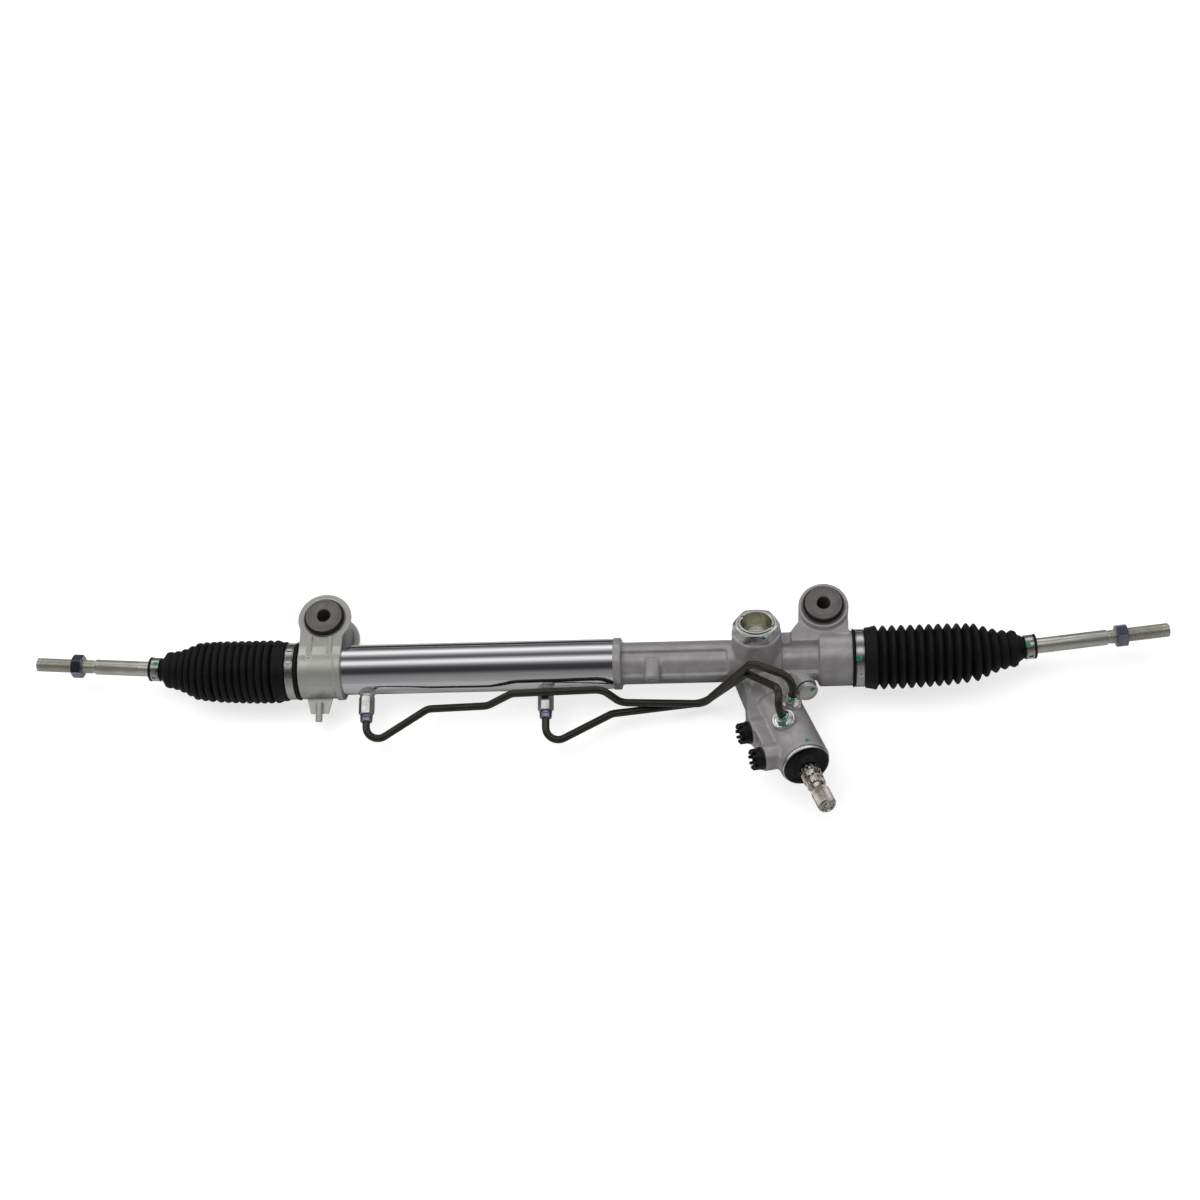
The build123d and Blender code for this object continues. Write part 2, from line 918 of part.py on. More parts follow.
def rack_guide():
    """The guide shoe: a round plunger with a saddle for the bar and a spring pocket."""
    with BuildPart() as piece:
        with BuildSketch(facing(guide_side, 0)):
            Circle(guide_radius)
        extrude(amount=guide_top)
        with BuildSketch(facing(guide_side, spring_seat)):
            Circle(spring_pocket)
        extrude(amount=guide_top, mode=Mode.SUBTRACT)
        with BuildSketch(across(gear_x - 2 * guide_radius)):
            Circle(rack_radius + seal_clear)
        extrude(amount=4 * guide_radius, mode=Mode.SUBTRACT)
        with BuildSketch(facing(guide_side, 0)):
            Circle(2 * guide_radius)
        extrude(amount=4, mode=Mode.SUBTRACT)
    return piece


def guide_spring():
    """A coil spring between the shoe and its plug."""
    height = plug_bottom - spring_seat - 2 * spring_wire
    start = guide_side.origin + guide_dir * (spring_seat + spring_wire)
    with BuildPart() as piece:
        with BuildLine():
            wire = Helix(spring_pitch, height, spring_radius, center=start, direction=guide_dir)
        with BuildSketch(Plane(origin=wire @ 0, z_dir=wire % 0)):
            Circle(spring_wire)
        sweep(is_frenet=True)
    return piece


def guide_plug():
    """The hollow threaded plug over the spring."""
    return turned(
        guide_side,
        [
            (plug_bottom, 0),
            (plug_bottom, plug_radius),
            (plug_top - 1, plug_radius),
            (plug_top, plug_radius - 1),
            (plug_top, plug_hollow),
            (plug_bottom + plug_floor + plug_cove, plug_hollow),
            (plug_bottom + plug_floor, plug_hollow - plug_cove),
            (plug_bottom + plug_floor, 0),
        ],
    )


def guide_lock_nut():
    with BuildPart() as piece:
        with BuildSketch(facing(guide_side, guide_boss_top)):
            RegularPolygon(nut_across_flats / 2, 6, major_radius=False, rotation=nut_turn)
            Circle(plug_radius, mode=Mode.SUBTRACT)
        extrude(amount=nut_height)
        corner = nut_across_flats / sqrt(3)
        with BuildSketch(guide_side):
            with BuildLine():
                Polyline(
                    (guide_boss_top + nut_height + 1, nut_across_flats / 2 - nut_chamfer),
                    (guide_boss_top + nut_height + 1, corner + 3),
                    (guide_boss_top + nut_height - 3, corner + 3),
                    close=True,
                )
            make_face()
        revolve(axis=Axis(gear_centre, guide_dir), mode=Mode.SUBTRACT)
    return piece


def pinion():
    """Toothed shaft, bearing journals and the head that holds sleeve and torsion bar."""
    head_end = head_s + head_length
    stations = [base_radius, (base_radius + pinion_tip) / 2, pinion_tip]
    tooth_plane = Plane(origin=pinion_side.origin, x_dir=guide_dir, z_dir=pinion_dir)
    turn = 2 * pi / pinion_teeth
    with BuildPart() as piece:
        with BuildSketch(pinion_side):
            with BuildLine():
                Polyline(
                    (lower_bearing_s, 0),
                    (lower_bearing_s, lower_journal),
                    (pinion_start - lower_bearing_gap, lower_journal),
                    (pinion_start - pinion_root_gap, pinion_root),
                    (pinion_end + pinion_root_gap, pinion_root),
                    (pinion_end + 4, pinion_tip),
                    (upper_bearing_s, upper_journal),
                    (head_s, upper_journal),
                    (head_s, head_radius),
                    (head_end, head_radius),
                    (head_end, nose_radius + running_clear),
                    (head_end - nose_depth, nose_radius + running_clear),
                    (head_end - nose_depth, torsion_radius),
                    (torsion_bottom, torsion_radius),
                    (torsion_bottom, 0),
                    close=True,
                )
            make_face()
        revolve(axis=Axis(pinion_centre, pinion_dir))
        with BuildSketch(tooth_plane.offset(pinion_start)):
            for k in range(pinion_teeth):
                with BuildLine():
                    left = [polar(r, k * turn + half_tooth(r)) for r in stations]
                    right = [polar(r, k * turn - half_tooth(r)) for r in stations]
                    foot_left = polar(pinion_root - 0.5, k * turn + half_tooth(base_radius))
                    foot_right = polar(pinion_root - 0.5, k * turn - half_tooth(base_radius))
                    Spline(*left)
                    Line(left[-1], right[-1])
                    Spline(*right)
                    Polyline(left[0], foot_left, foot_right, right[0])
                make_face()
        extrude(amount=pinion_face)
    return piece


def polar(radius, angle):
    """A point at a radius and an angle in radians."""
    return (radius * cos(angle), radius * sin(angle))


def valve_sleeve():
    """The sleeve over the input shaft, grooved between its four sealing lands."""
    end = sleeve_s + sleeve_length
    land = sleeve_length / 13
    outline = [(sleeve_s, sleeve_inner + running_clear), (end, sleeve_inner + running_clear)]
    for k in range(3, -1, -1):
        start = sleeve_s + land * (3 * k + 1)
        low = sleeve_outer - sleeve_groove
        outline += [(start + 2 * land, sleeve_outer), (start + 2 * land, low)]
        outline += [(start, low), (start, sleeve_outer)]
    outline = outline[:2] + [(end, sleeve_outer)] + outline[2:] + [(sleeve_s, sleeve_outer)]
    return turned(pinion_side, outline)


def torsion_bar():
    waist = torsion_radius - 0.8
    return turned(
        pinion_side,
        [
            (torsion_bottom, 0),
            (torsion_bottom, torsion_radius),
            (head_s, torsion_radius),
            (head_s + 4, waist),
            (torsion_top - 12, waist),
            (torsion_top, waist),
            (torsion_top, 0),
        ],
    )


def input_shaft():
    """The rotary valve shaft, with a clamp groove and a serrated end."""
    head_end = head_s + head_length
    nose_start = head_end - nose_depth + 0.5
    neck_end = shaft_neck_s + shaft_neck_length
    with BuildPart() as piece:
        with BuildSketch(pinion_side):
            with BuildLine():
                Polyline(
                    (nose_start, shaft_core),
                    (nose_start, nose_radius),
                    (sleeve_s + 1, nose_radius),
                    (sleeve_s + 3, sleeve_inner),
                    (seal_s - 2, sleeve_inner),
                    (seal_s - 1, shaft_radius),
                    (shaft_neck_s - 1, shaft_radius),
                    (shaft_neck_s, shaft_neck),
                    (neck_end, shaft_neck),
                    (neck_end + 1, shaft_end_radius),
                    (shaft_end_s - 1.2, shaft_end_radius),
                    (shaft_end_s, shaft_end_radius - 1.2),
                    (shaft_end_s, 0),
                    (torsion_top + 0.2, 0),
                    (torsion_top + 0.2, shaft_core),
                    close=True,
                )
            make_face()
        revolve(axis=Axis(pinion_centre, pinion_dir))
        with BuildSketch(facing(pinion_side, neck_end)):
            with PolarLocations(shaft_end_radius + serration_depth / 3, serration_count):
                RegularPolygon(serration_depth, 3)
        extrude(amount=shaft_end_s - neck_end, mode=Mode.SUBTRACT)
    return piece


def dust_cover():
    """The rubber cover pressed over the tower's mouth, rising to the shaft."""
    bore = shaft_radius + soft_clear
    return turned(
        pinion_side,
        [
            (cover_s, bore),
            (cover_s + cover_rise + cover_thick, bore),
            (cover_s + cover_rise + cover_thick, cover_cone),
            (cover_s + cover_thick, cover_radius - 3),
            (cover_s + cover_thick - 1, cover_radius),
            (cover_s, cover_radius),
            (cover_s, cover_radius - 6),
            (cover_s + 1.5, cover_radius - 8),
        ],
    )


def side_plug():
    """The plug beside the tower, with a shallow dish in its face."""
    with BuildPart() as piece:
        with BuildSketch(side_plug_plane):
            Circle(side_plug_radius)
        extrude(amount=side_plug_length)
        with BuildSketch(side_plug_plane):
            Circle(side_thread_radius)
        extrude(amount=-side_plug_length)
        with BuildSketch(side_plug_plane.offset(side_plug_length)):
            Circle(side_dish_radius)
        extrude(amount=-side_dish_depth, mode=Mode.SUBTRACT)
    return piece


def tube_nut(side, start, length, collar=nut_collar_length):
    """A tube nut: hexagon, then the round collar where the pipe comes out."""
    with BuildPart() as piece:
        with BuildSketch(facing(side, start)):
            RegularPolygon(nut_flats / 2, 6, major_radius=False)
            Circle(pipe_radius, mode=Mode.SUBTRACT)
        extrude(amount=length)
        with BuildSketch(facing(side, start + length)):
            Circle(nut_collar)
            Circle(pipe_radius, mode=Mode.SUBTRACT)
        extrude(amount=collar)
    return piece


def port_cap(s):
    """The ribbed cap whose stem plugs the port."""
    side = branch(s, port_angle)
    with BuildPart() as piece:
        with BuildSketch(side):
            with BuildLine():
                Polyline(
                    (port_boss_reach - cap_stem_length, 0),
                    (port_boss_reach - cap_stem_length, cap_stem - 1),
                    (port_boss_reach - cap_stem_length + 1, cap_stem),
                    (port_boss_reach + cap_gap, cap_stem),
                    (port_boss_reach + cap_gap, cap_radius),
                    (port_boss_reach + cap_length - 1.5, cap_radius - 0.4),
                    (port_boss_reach + cap_length, cap_radius - 2),
                    (port_boss_reach + cap_length, 0),
                    close=True,
                )
            make_face()
        revolve(axis=Axis(side.origin, side.x_dir))
        with BuildSketch(facing(side, port_boss_reach + 1)):
            with PolarLocations(cap_radius, cap_rib_count):
                Rectangle(2 * cap_rib, 1.5 * cap_rib)
        extrude(amount=cap_length - 3)
    return piece


def tie_rod(side, nut_end):
    """Ball, neck, round shank, wrench flats, the lock nut's seat and the free thread."""
    joint = sqrt(ball_radius**2 - rod_neck**2)
    neck_angle = degrees(asin(rod_neck / ball_radius))
    with BuildPart() as piece:
        with BuildSketch(side):
            with BuildLine():
                CenterArc((0, 0), ball_radius, neck_angle, 180 - neck_angle)
                Polyline(
                    (-ball_radius, 0),
                    (rod_length, 0),
                    (rod_length, thread_radius - rod_chamfer),
                    (rod_length - rod_chamfer, thread_radius),
                    (nut_end, thread_radius),
                    (nut_end, nut_seat_radius),
                    (hex_end + 1, nut_seat_radius),
                    (hex_end, rod_radius),
                    (rod_swell, rod_radius),
                    (rod_swell - 12, rod_neck),
                    (joint, rod_neck),
                )
            make_face()
        revolve(axis=Axis(side.origin, side.x_dir))
        with BuildSketch(facing(side, hex_start)):
            Circle(3 * rod_radius)
            RegularPolygon(hex_flats / 2, 6, major_radius=False, mode=Mode.SUBTRACT)
        extrude(amount=hex_end - hex_start + 2, mode=Mode.SUBTRACT)
    return piece


def jam_nut(side, start):
    """The lock nut on the rod's thread, chamfered at both ends."""
    corner = jam_flats / sqrt(3)
    with BuildPart() as piece:
        with BuildSketch(facing(side, start)):
            RegularPolygon(jam_flats / 2, 6, major_radius=False)
            Circle(nut_seat_radius, mode=Mode.SUBTRACT)
        extrude(amount=jam_length)
        for edge, inward in ((start, 1), (start + jam_length, -1)):
            with BuildSketch(side):
                with BuildLine():
                    Polyline(
                        (edge - inward, jam_flats / 2 - 0.6),
                        (edge + 2 * inward, corner + 0.5),
                        (edge - inward, corner + 0.5),
                        close=True,
                    )
                make_face()
            revolve(axis=Axis(side.origin, side.x_dir), mode=Mode.SUBTRACT)
    return piece


def ball_seat(side):
    """The plastic liner between ball and socket, open towards the rod."""
    inner = ball_radius + ball_gap
    mouth = radians(seat_mouth)
    with BuildPart() as piece:
        with BuildSketch(side):
            with BuildLine():
                CenterArc((0, 0), inner, seat_mouth, 180 - seat_mouth)
                CenterArc((0, 0), seat_outer, seat_mouth, 180 - seat_mouth)
                Line((-inner, 0), (-seat_outer, 0))
                Line(
                    (inner * cos(mouth), inner * sin(mouth)),
                    (seat_outer * cos(mouth), seat_outer * sin(mouth)),
                )
            make_face()
        revolve(axis=Axis(side.origin, side.x_dir))
    return piece


def ball_socket(ball, out):
    """The socket screwed on the rack's end; out is +1 or -1 along the rack."""
    side = Plane(origin=ball, x_dir=(out, 0, 0), z_dir=(0, 0, 1))
    mouth = radians(socket_mouth)
    lip = socket_cavity * sin(mouth)
    front = socket_cavity * cos(mouth)
    with BuildPart() as piece:
        with BuildSketch(side):
            with BuildLine():
                Polyline(
                    (-socket_cavity, 0),
                    (-socket_back - lock_washer_thick - stud_length, 0),
                    (-socket_back - lock_washer_thick - stud_length, stud_thread),
                    (-socket_back, stud_thread),
                    (-socket_back, socket_radius),
                    (socket_front - 2, socket_radius),
                    (socket_front, socket_radius - 2.5),
                    (socket_front, lip + (socket_front - front) * 1.2),
                    (front, lip),
                )
                CenterArc((0, 0), socket_cavity, socket_mouth, 180 - socket_mouth)
            make_face()
        revolve(axis=Axis(side.origin, side.x_dir))
        for up in (1, -1):
            with BuildSketch(Plane(ball, (out, 0, 0), (0, 0, up)).offset(socket_flats / 2)):
                with Locations((-socket_back / 2 - 4, 0)):
                    Rectangle(socket_back - 8, 3 * socket_radius)
            extrude(amount=socket_radius, mode=Mode.SUBTRACT)
    return piece


def boot_line(start, out, cuff_length, ball, side, neck_at, radius, shoulder):
    """Stations of a boot, as (centre, outside radius, inside radius), cuff first."""
    cuff_point = Vector(start, rack_y, 0)
    cuff_end = cuff_point + Vector(out * cuff_length, 0, 0)
    neck_start = side.origin + side.x_dir * (neck_at - neck_length / 2)
    neck_end = side.origin + side.x_dir * (neck_at + neck_length / 2)
    stations = [(cuff_point, cuff_radius, tube_radius), (cuff_end, cuff_radius, tube_radius)]
    count = 2 * ridge_count + 1
    for k in range(1, count):
        share = k / count
        bend = ball * (2 * share * (1 - share)) + neck_start * share**2 + cuff_end * (1 - share) ** 2
        along = cuff_end + (neck_start - cuff_end) * share
        left = (count - k) / 2 + 0.5
        rise = sin(pi / 2 * min(1, left / shoulder))
        top = neck_outer + (radius - neck_outer) * rise
        valley = max(top - ridge_depth, neck_outer)
        inside = max(valley - boot_wall, neck_outer - boot_wall)
        stations.append((Vector(along.X, bend.Y, 0), top if k % 2 else valley, inside))
    inside = rod_radius + soft_clear
    stations += [(neck_start, neck_outer, inside), (neck_end, neck_outer, inside)]
    return stations


def boot(stations):
    """A bellows skinned through its stations, less a smooth inside through its valleys."""

    def station_plane(k):
        before = stations[max(k - 1, 0)][0]
        after = stations[min(k + 1, len(stations) - 1)][0]
        return Plane(origin=stations[k][0], z_dir=(after - before).normalized())

    last = len(stations) - 1
    with BuildPart() as piece:
        for k, station in enumerate(stations):
            with BuildSketch(station_plane(k)):
                Circle(station[1])
        loft(ruled=True)
        for k in [0, 1] + list(range(3, last - 1, 2)) + [last - 1, last]:
            with BuildSketch(station_plane(k)):
                Circle(stations[k][2])
        loft(ruled=True, mode=Mode.SUBTRACT)
    return piece


def band(side, start, width, inner, thick, ear, turn):
    """A clamp band with its pinched ear standing up at a turn about the axis."""
    with BuildPart() as piece:
        with BuildSketch(facing(side, start)):
            Circle(inner + thick)
            Circle(inner, mode=Mode.SUBTRACT)
        extrude(amount=width)
        with BuildSketch(facing(side, start + width * 0.15)):
            with Locations(Rot(0, 0, turn)):
                with Locations((inner + ear / 2 + thick / 2, 0)):
                    Rectangle(ear, 2.6 * thick)
        extrude(amount=width * 0.7)
    return piece


def pipe(points, radii):
    """A bent pipe: straight runs joined by tangent arcs."""
    with BuildPart() as piece:
        with BuildLine():
            path = FilletPolyline(*points, radius=radii)
        with BuildSketch(Plane(origin=path @ 0, z_dir=path % 0)):
            Circle(pipe_radius)
        sweep()
    return piece


# Make and save every piece
save(cylinder_tube(), "cylinder_tube")
for name, x in (("left", port_left), ("right", port_right)):
    save(port_boss(x), f"{name}_port_boss")
    save(tube_nut(port_side(x), boss_reach, nut_length), f"{name}_cylinder_nut")
save(left_bracket(), "left_bracket")
save(bracket_tab(), "bracket_tab")
for name, x in (("left", left_bush_x), ("right", right_bush_x)):
    save(bush_shell_ring(x), f"{name}_bush_shell")
    save(bush_rubber_ring(x), f"{name}_bush_rubber")
    save(bush_sleeve(x), f"{name}_bush_sleeve")
save(gear_housing(), "gear_housing")
save(rack_bar(), "rack_bar")
save(piston(), "piston")
save(piston_ring(), "piston_ring")
save(end_stopper(), "end_stopper")
save(inner_seal(), "inner_seal")
right_bush = ring(rack_side, collar_left + 1, stop_right, rack_radius + seal_clear, bush_pocket)
save(right_bush, "rack_bush")
save(rack_guide(), "rack_guide")
save(guide_spring(), "guide_spring")
save(guide_plug(), "guide_plug")
save(guide_lock_nut(), "guide_lock_nut")
save(pinion(), "pinion")
lower_end = lower_bearing_s + lower_bearing_length
lower = ring(pinion_side, lower_bearing_s, lower_end, lower_journal + running_clear, lower_bearing_outer)
save(lower, "lower_bearing")
upper_end = upper_bearing_s + upper_bearing_length
upper = ring(pinion_side, upper_bearing_s, upper_end, upper_journal + running_clear, upper_bearing_outer)
save(upper, "upper_bearing")
save(valve_sleeve(), "valve_sleeve")
save(torsion_bar(), "torsion_bar")
save(input_shaft(), "input_shaft")
save(ring(pinion_side, seal_s, seal_end, shaft_radius + running_clear, valve_bore), "input_seal")
save(ring(pinion_side, ring_s, ring_s + ring_thick, valve_bore - 3, valve_bore), "retaining_ring")
save(dust_cover(), "dust_cover")
save(side_plug(), "side_plug")
save(port_cap(pressure_port_s), "pressure_port_cap")
save(port_cap(return_port_s), "return_port_cap")
for name, s, angle in (("left", pipe_a_s, pipe_a_angle), ("right", pipe_b_s, pipe_b_angle)):
    valve_nut = tube_nut(branch(s, angle), pipe_boss_reach, valve_nut_length, valve_nut_collar)
    save(valve_nut, f"{name}_valve_nut")
for name, ball, side, out in (
    ("left", left_ball, left_rod_side, -1),
    ("right", right_ball, right_rod_side, 1),
):
    jam_start = left_jam_start if out < 0 else right_jam_start
    save(tie_rod(side, jam_start + jam_length), f"{name}_tie_rod")
    save(jam_nut(side, jam_start), f"{name}_lock_nut")
    save(ball_seat(Plane(origin=ball, x_dir=(out, 0, 0), z_dir=(0, 0, 1))), f"{name}_ball_seat")
    save(ball_socket(ball, out), f"{name}_ball_socket")
    washer_at = ball.X - out * (socket_back + lock_washer_thick)
    washer = ring(rack_side, washer_at, ball.X - out * socket_back, stud_thread, lock_washer_radius)
    save(washer, f"{name}_lock_washer")

left_boot_line = boot_line(
    boot_left_end, -1, left_cuff, left_ball, left_rod_side, left_neck, left_ridge_radius, left_shoulder
)
right_boot_line = boot_line(
    collar_right, 1, right_cuff, right_ball, right_rod_side, right_neck, right_ridge_radius, right_shoulder
)
save(boot(left_boot_line), "left_boot")
save(boot(right_boot_line), "right_boot")
left_clamp_side = Plane(origin=(boot_left_end, rack_y, 0), x_dir=(-1, 0, 0), z_dir=(0, 0, 1))
right_clamp_side = Plane(origin=(collar_right, rack_y, 0), x_dir=(1, 0, 0), z_dir=(0, 0, 1))
for name, side, rod_side, neck in (
    ("left", left_clamp_side, left_rod_side, left_neck),
    ("right", right_clamp_side, right_rod_side, right_neck),
):
    clamp = band(side, clamp_from_end, clamp_width, cuff_radius, clamp_thick, clamp_ear, clamp_turn)
    save(clamp, f"{name}_boot_clamp")
    clip_at = neck - clip_width / 2
    clip_inner = neck_outer + soft_clear
    clip = band(rod_side, clip_at, clip_width, clip_inner, clip_thick, clip_ear, clip_turn)
    save(clip, f"{name}_boot_clip")

pipe_a_side = branch(pipe_a_s, pipe_a_angle)
pipe_b_side = branch(pipe_b_s, pipe_b_angle)
left_port_side = port_side(port_left)
right_port_side = port_side(port_right)
pipe_start = boss_reach + nut_cover
pipe_a = [
    left_port_side.origin + port_dir * pipe_start,
    left_port_side.origin + port_dir * pipe_a_drop,
    Vector(gear_x - 345.8, rack_y - 43.9, -7.8),
    Vector(gear_x - 282.9, rack_y - 42.1, -7.4),
    Vector(gear_x - 255.8, rack_y - 36.0, 8.5),
    Vector(gear_x - 161.3, rack_y - 35.0, 11.0),
    Vector(gear_x - 142.8, rack_y - 40.0, -11.0),
    Vector(gear_x - 56.7, rack_y - 41.0, -16.2),
    Vector(gear_x - 6.1, rack_y - 29.4, 53.6),
    pipe_a_side.origin + pipe_a_side.x_dir * pipe_a_rise,
    pipe_a_side.origin + pipe_a_side.x_dir * (pipe_boss_reach + nut_cover),
]
pipe_b = [
    right_port_side.origin + port_dir * pipe_start,
    right_port_side.origin + port_dir * pipe_b_drop,
    Vector(gear_x - 152.4, rack_y - 50.0, -16.5),
    Vector(gear_x - 57.0, rack_y - 31.0, -34.5),
    Vector(gear_x - 10.9, rack_y - 30.5, 32.0),
    Vector(gear_x + 20.9, rack_y - 68.5, 73.6),
    pipe_b_side.origin + pipe_b_side.x_dir * pipe_b_rise,
    pipe_b_side.origin + pipe_b_side.x_dir * (pipe_boss_reach + nut_cover),
]
save(pipe(pipe_a, [pipe_first_bend] + [pipe_bend] * (len(pipe_a) - 3)), "left_pipe")
pipe_b_bends = [pipe_first_bend, pipe_bend, pipe_bend, pipe_bend, pipe_last_bend, pipe_last_bend]
save(pipe(pipe_b, pipe_b_bends), "right_pipe")
side_seal = ring(side_plug_side, -side_seal_thick, 0, side_thread_radius, side_plug_radius)
save(side_seal, "side_plug_seal")
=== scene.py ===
"""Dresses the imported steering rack: casting, boots, bands, rods, fittings, finishes and studio."""

import json
from math import atan2, cos, degrees, pi, radians, sin

import bmesh
import bpy
from mathutils import Matrix, Vector


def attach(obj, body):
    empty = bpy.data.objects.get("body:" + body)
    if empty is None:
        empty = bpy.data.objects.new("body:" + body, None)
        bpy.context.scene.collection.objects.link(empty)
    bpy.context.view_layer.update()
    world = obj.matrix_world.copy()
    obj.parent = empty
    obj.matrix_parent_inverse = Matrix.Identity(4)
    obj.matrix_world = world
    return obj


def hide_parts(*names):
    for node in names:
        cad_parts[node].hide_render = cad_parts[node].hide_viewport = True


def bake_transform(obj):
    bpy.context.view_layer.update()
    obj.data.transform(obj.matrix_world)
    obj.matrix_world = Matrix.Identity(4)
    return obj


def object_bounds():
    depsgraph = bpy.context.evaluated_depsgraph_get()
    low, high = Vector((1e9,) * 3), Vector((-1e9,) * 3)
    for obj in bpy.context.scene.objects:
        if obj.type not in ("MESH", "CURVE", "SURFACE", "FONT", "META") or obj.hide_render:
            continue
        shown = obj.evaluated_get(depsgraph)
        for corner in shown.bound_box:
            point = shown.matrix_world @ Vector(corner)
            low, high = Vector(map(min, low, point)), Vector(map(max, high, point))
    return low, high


bl_info = {
    "name": "Steering Rack Dressing",
    "version": (1, 0, 0),
    "blender": (4, 5, 0),
    "location": "3D View > Sidebar > Rack",
    "description": "Models the casting skin, boots, bands, rods and finishes of a power steering rack",
    "category": "Object",
}

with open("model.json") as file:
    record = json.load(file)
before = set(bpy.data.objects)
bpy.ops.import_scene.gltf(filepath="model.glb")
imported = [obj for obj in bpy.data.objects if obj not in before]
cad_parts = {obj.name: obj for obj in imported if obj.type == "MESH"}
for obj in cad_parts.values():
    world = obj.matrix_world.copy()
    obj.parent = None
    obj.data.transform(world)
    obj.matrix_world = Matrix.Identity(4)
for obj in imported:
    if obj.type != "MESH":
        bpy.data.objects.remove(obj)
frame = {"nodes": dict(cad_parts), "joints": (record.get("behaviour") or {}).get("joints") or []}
nodes = frame["nodes"]
joints = {j["name"]: j for j in frame["joints"]}
cad_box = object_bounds()

MM = 0.001
up = Vector((0, 0, 1))
rack_y = joints["left_swing"]["pos_m"][1]
left_ball = Vector(joints["left_swing"]["pos_m"])
right_ball = Vector(joints["right_swing"]["pos_m"])
pinion_point = Vector(joints["pinion_turn"]["pos_m"])
pinion_dir = Vector(joints["pinion_turn"]["axis"]).normalized()
port_dir = Vector(joints["pressure_cap_pull"]["axis"]).normalized()
left_rod_dir = Vector(joints["left_lift"]["axis"]).cross(up).normalized()
right_rod_dir = Vector(joints["right_lift"]["axis"]).cross(up).normalized()
if left_rod_dir.x > 0:
    left_rod_dir.negate()
if right_rod_dir.x < 0:
    right_rod_dir.negate()

# Each end: side, direction along X, where the boot starts, ball, rod direction, neck in mm from the ball
ends = (
    ("left", -1, -0.289, left_ball, left_rod_dir, 88),
    ("right", 1, 0.2912, right_ball, right_rod_dir, 74),
)
# Places and sizes in metres
bush_x = 0.263
bracket_cell = 0.0009
bore_clear = 0.0165
boss_depth = 0.014
neck_bore = 0.0115
thread_start = 0.1566
thread_length = 0.0634
thread_major = 0.0072
# Width of a thread's crest as a share of its foot
crest_share = 0.4
# Sizes in millimetres
nut_height = 11.5
band_width = 9
# Stations along the pinion's axis in mm, and the angle of each pipe about it
cap_stations = (("pressure", 88.0), ("return", 128.0))
pipe_stations = (("left", 84.0, -14.0), ("right", 107.0, 17.0))
cylinder_boss_x = (("left", -0.2182), ("right", -0.0289))
boss_drop_angle = 10
side_plug_station = 50.0
side_plug_reach = 37.2
side_plug_angle = 280


# Settings that a user would change


def length(name, description, default):
    return bpy.props.FloatProperty(name=name, description=description, default=default, unit="LENGTH")


def colour(name, description, default):
    return bpy.props.FloatVectorProperty(
        name=name, description=description, default=default, subtype="COLOR"
    )


class CastingSettings(bpy.types.PropertyGroup):
    cell: length("Skin cell", "Cell size of the softened casting skin", 0.0014)
    soften: bpy.props.IntProperty(
        name="Softening", description="Smoothing rounds that turn sharp joins into cast fillets", default=9
    )
    colour: colour("Casting", "Colour of the cast aluminium", (0.40, 0.385, 0.395))
    bracket: colour("Bracket", "Colour of the plated sheet bracket", (0.52, 0.52, 0.49))


class BootSettings(bpy.types.PropertyGroup):
    ridges: bpy.props.IntProperty(name="Ridges", description="Ridges on each boot", default=15)
    left_radius: length("Left ridge", "Largest ridge radius of the left boot", 0.0336)
    right_radius: length("Right ridge", "Largest ridge radius of the right boot", 0.0334)
    left_depth: length("Left depth", "Depth between ridges of the left boot", 0.0036)
    right_depth: length("Right depth", "Depth between ridges of the right boot", 0.0062)
    wall: length("Wall", "Rubber thickness of the boots", 0.0012)
    colour: colour("Rubber", "Colour of the boot rubber", (0.0050, 0.0050, 0.0053))


class RodSettings(bpy.types.PropertyGroup):
    pitch: length("Thread pitch", "Pitch of the tie rod threads", 0.0015)
    depth: length("Thread depth", "Depth of the tie rod threads", 0.0006)
    colour: colour("Rod steel", "Colour of the tie rods", (0.66, 0.65, 0.58))


class FittingSettings(bpy.types.PropertyGroup):
    zinc: colour("Zinc", "Colour of the plated nuts", (0.72, 0.72, 0.71))
    pipe: colour("Pipe coating", "Colour of the coated pipes", (0.013, 0.012, 0.007))
    paint: colour("Inspection paint", "Colour of the green marks", (0.0, 0.21, 0.12))


class StudioSettings(bpy.types.PropertyGroup):
    bright: bpy.props.FloatProperty(
        name="Strip light", description="Level of the strip lights", default=1.3
    )
    key: bpy.props.FloatProperty(name="Key lamp", description="Power of the large soft lamp", default=34.0)
    floor: colour("Floor", "Colour of the floor", (0.50, 0.50, 0.50))


# Modelling helpers


def clear():
    """Leave edit mode with nothing selected."""
    if bpy.context.object and bpy.context.object.mode != "OBJECT":
        bpy.ops.object.mode_set(mode="OBJECT")
    bpy.ops.object.select_all(action="DESELECT")


def pick(piece):
    clear()
    piece.select_set(True)
    bpy.context.view_layer.objects.active = piece


def edit(piece, select=True):
    pick(piece)
    bpy.ops.object.mode_set(mode="EDIT")
    bpy.ops.mesh.select_mode(type="VERT")
    bpy.ops.mesh.select_all(action="SELECT" if select else "DESELECT")


def choose(piece, test):
    """In edit mode, select the faces whose centre and normal pass a test."""
    bpy.ops.mesh.select_mode(type="FACE")
    mesh = bmesh.from_edit_mesh(piece.data)
    for face in mesh.faces:
        face.select_set(bool(test(piece.matrix_world @ face.calc_center_median(), face.normal)))
    mesh.select_flush_mode()
    bmesh.update_edit_mesh(piece.data)


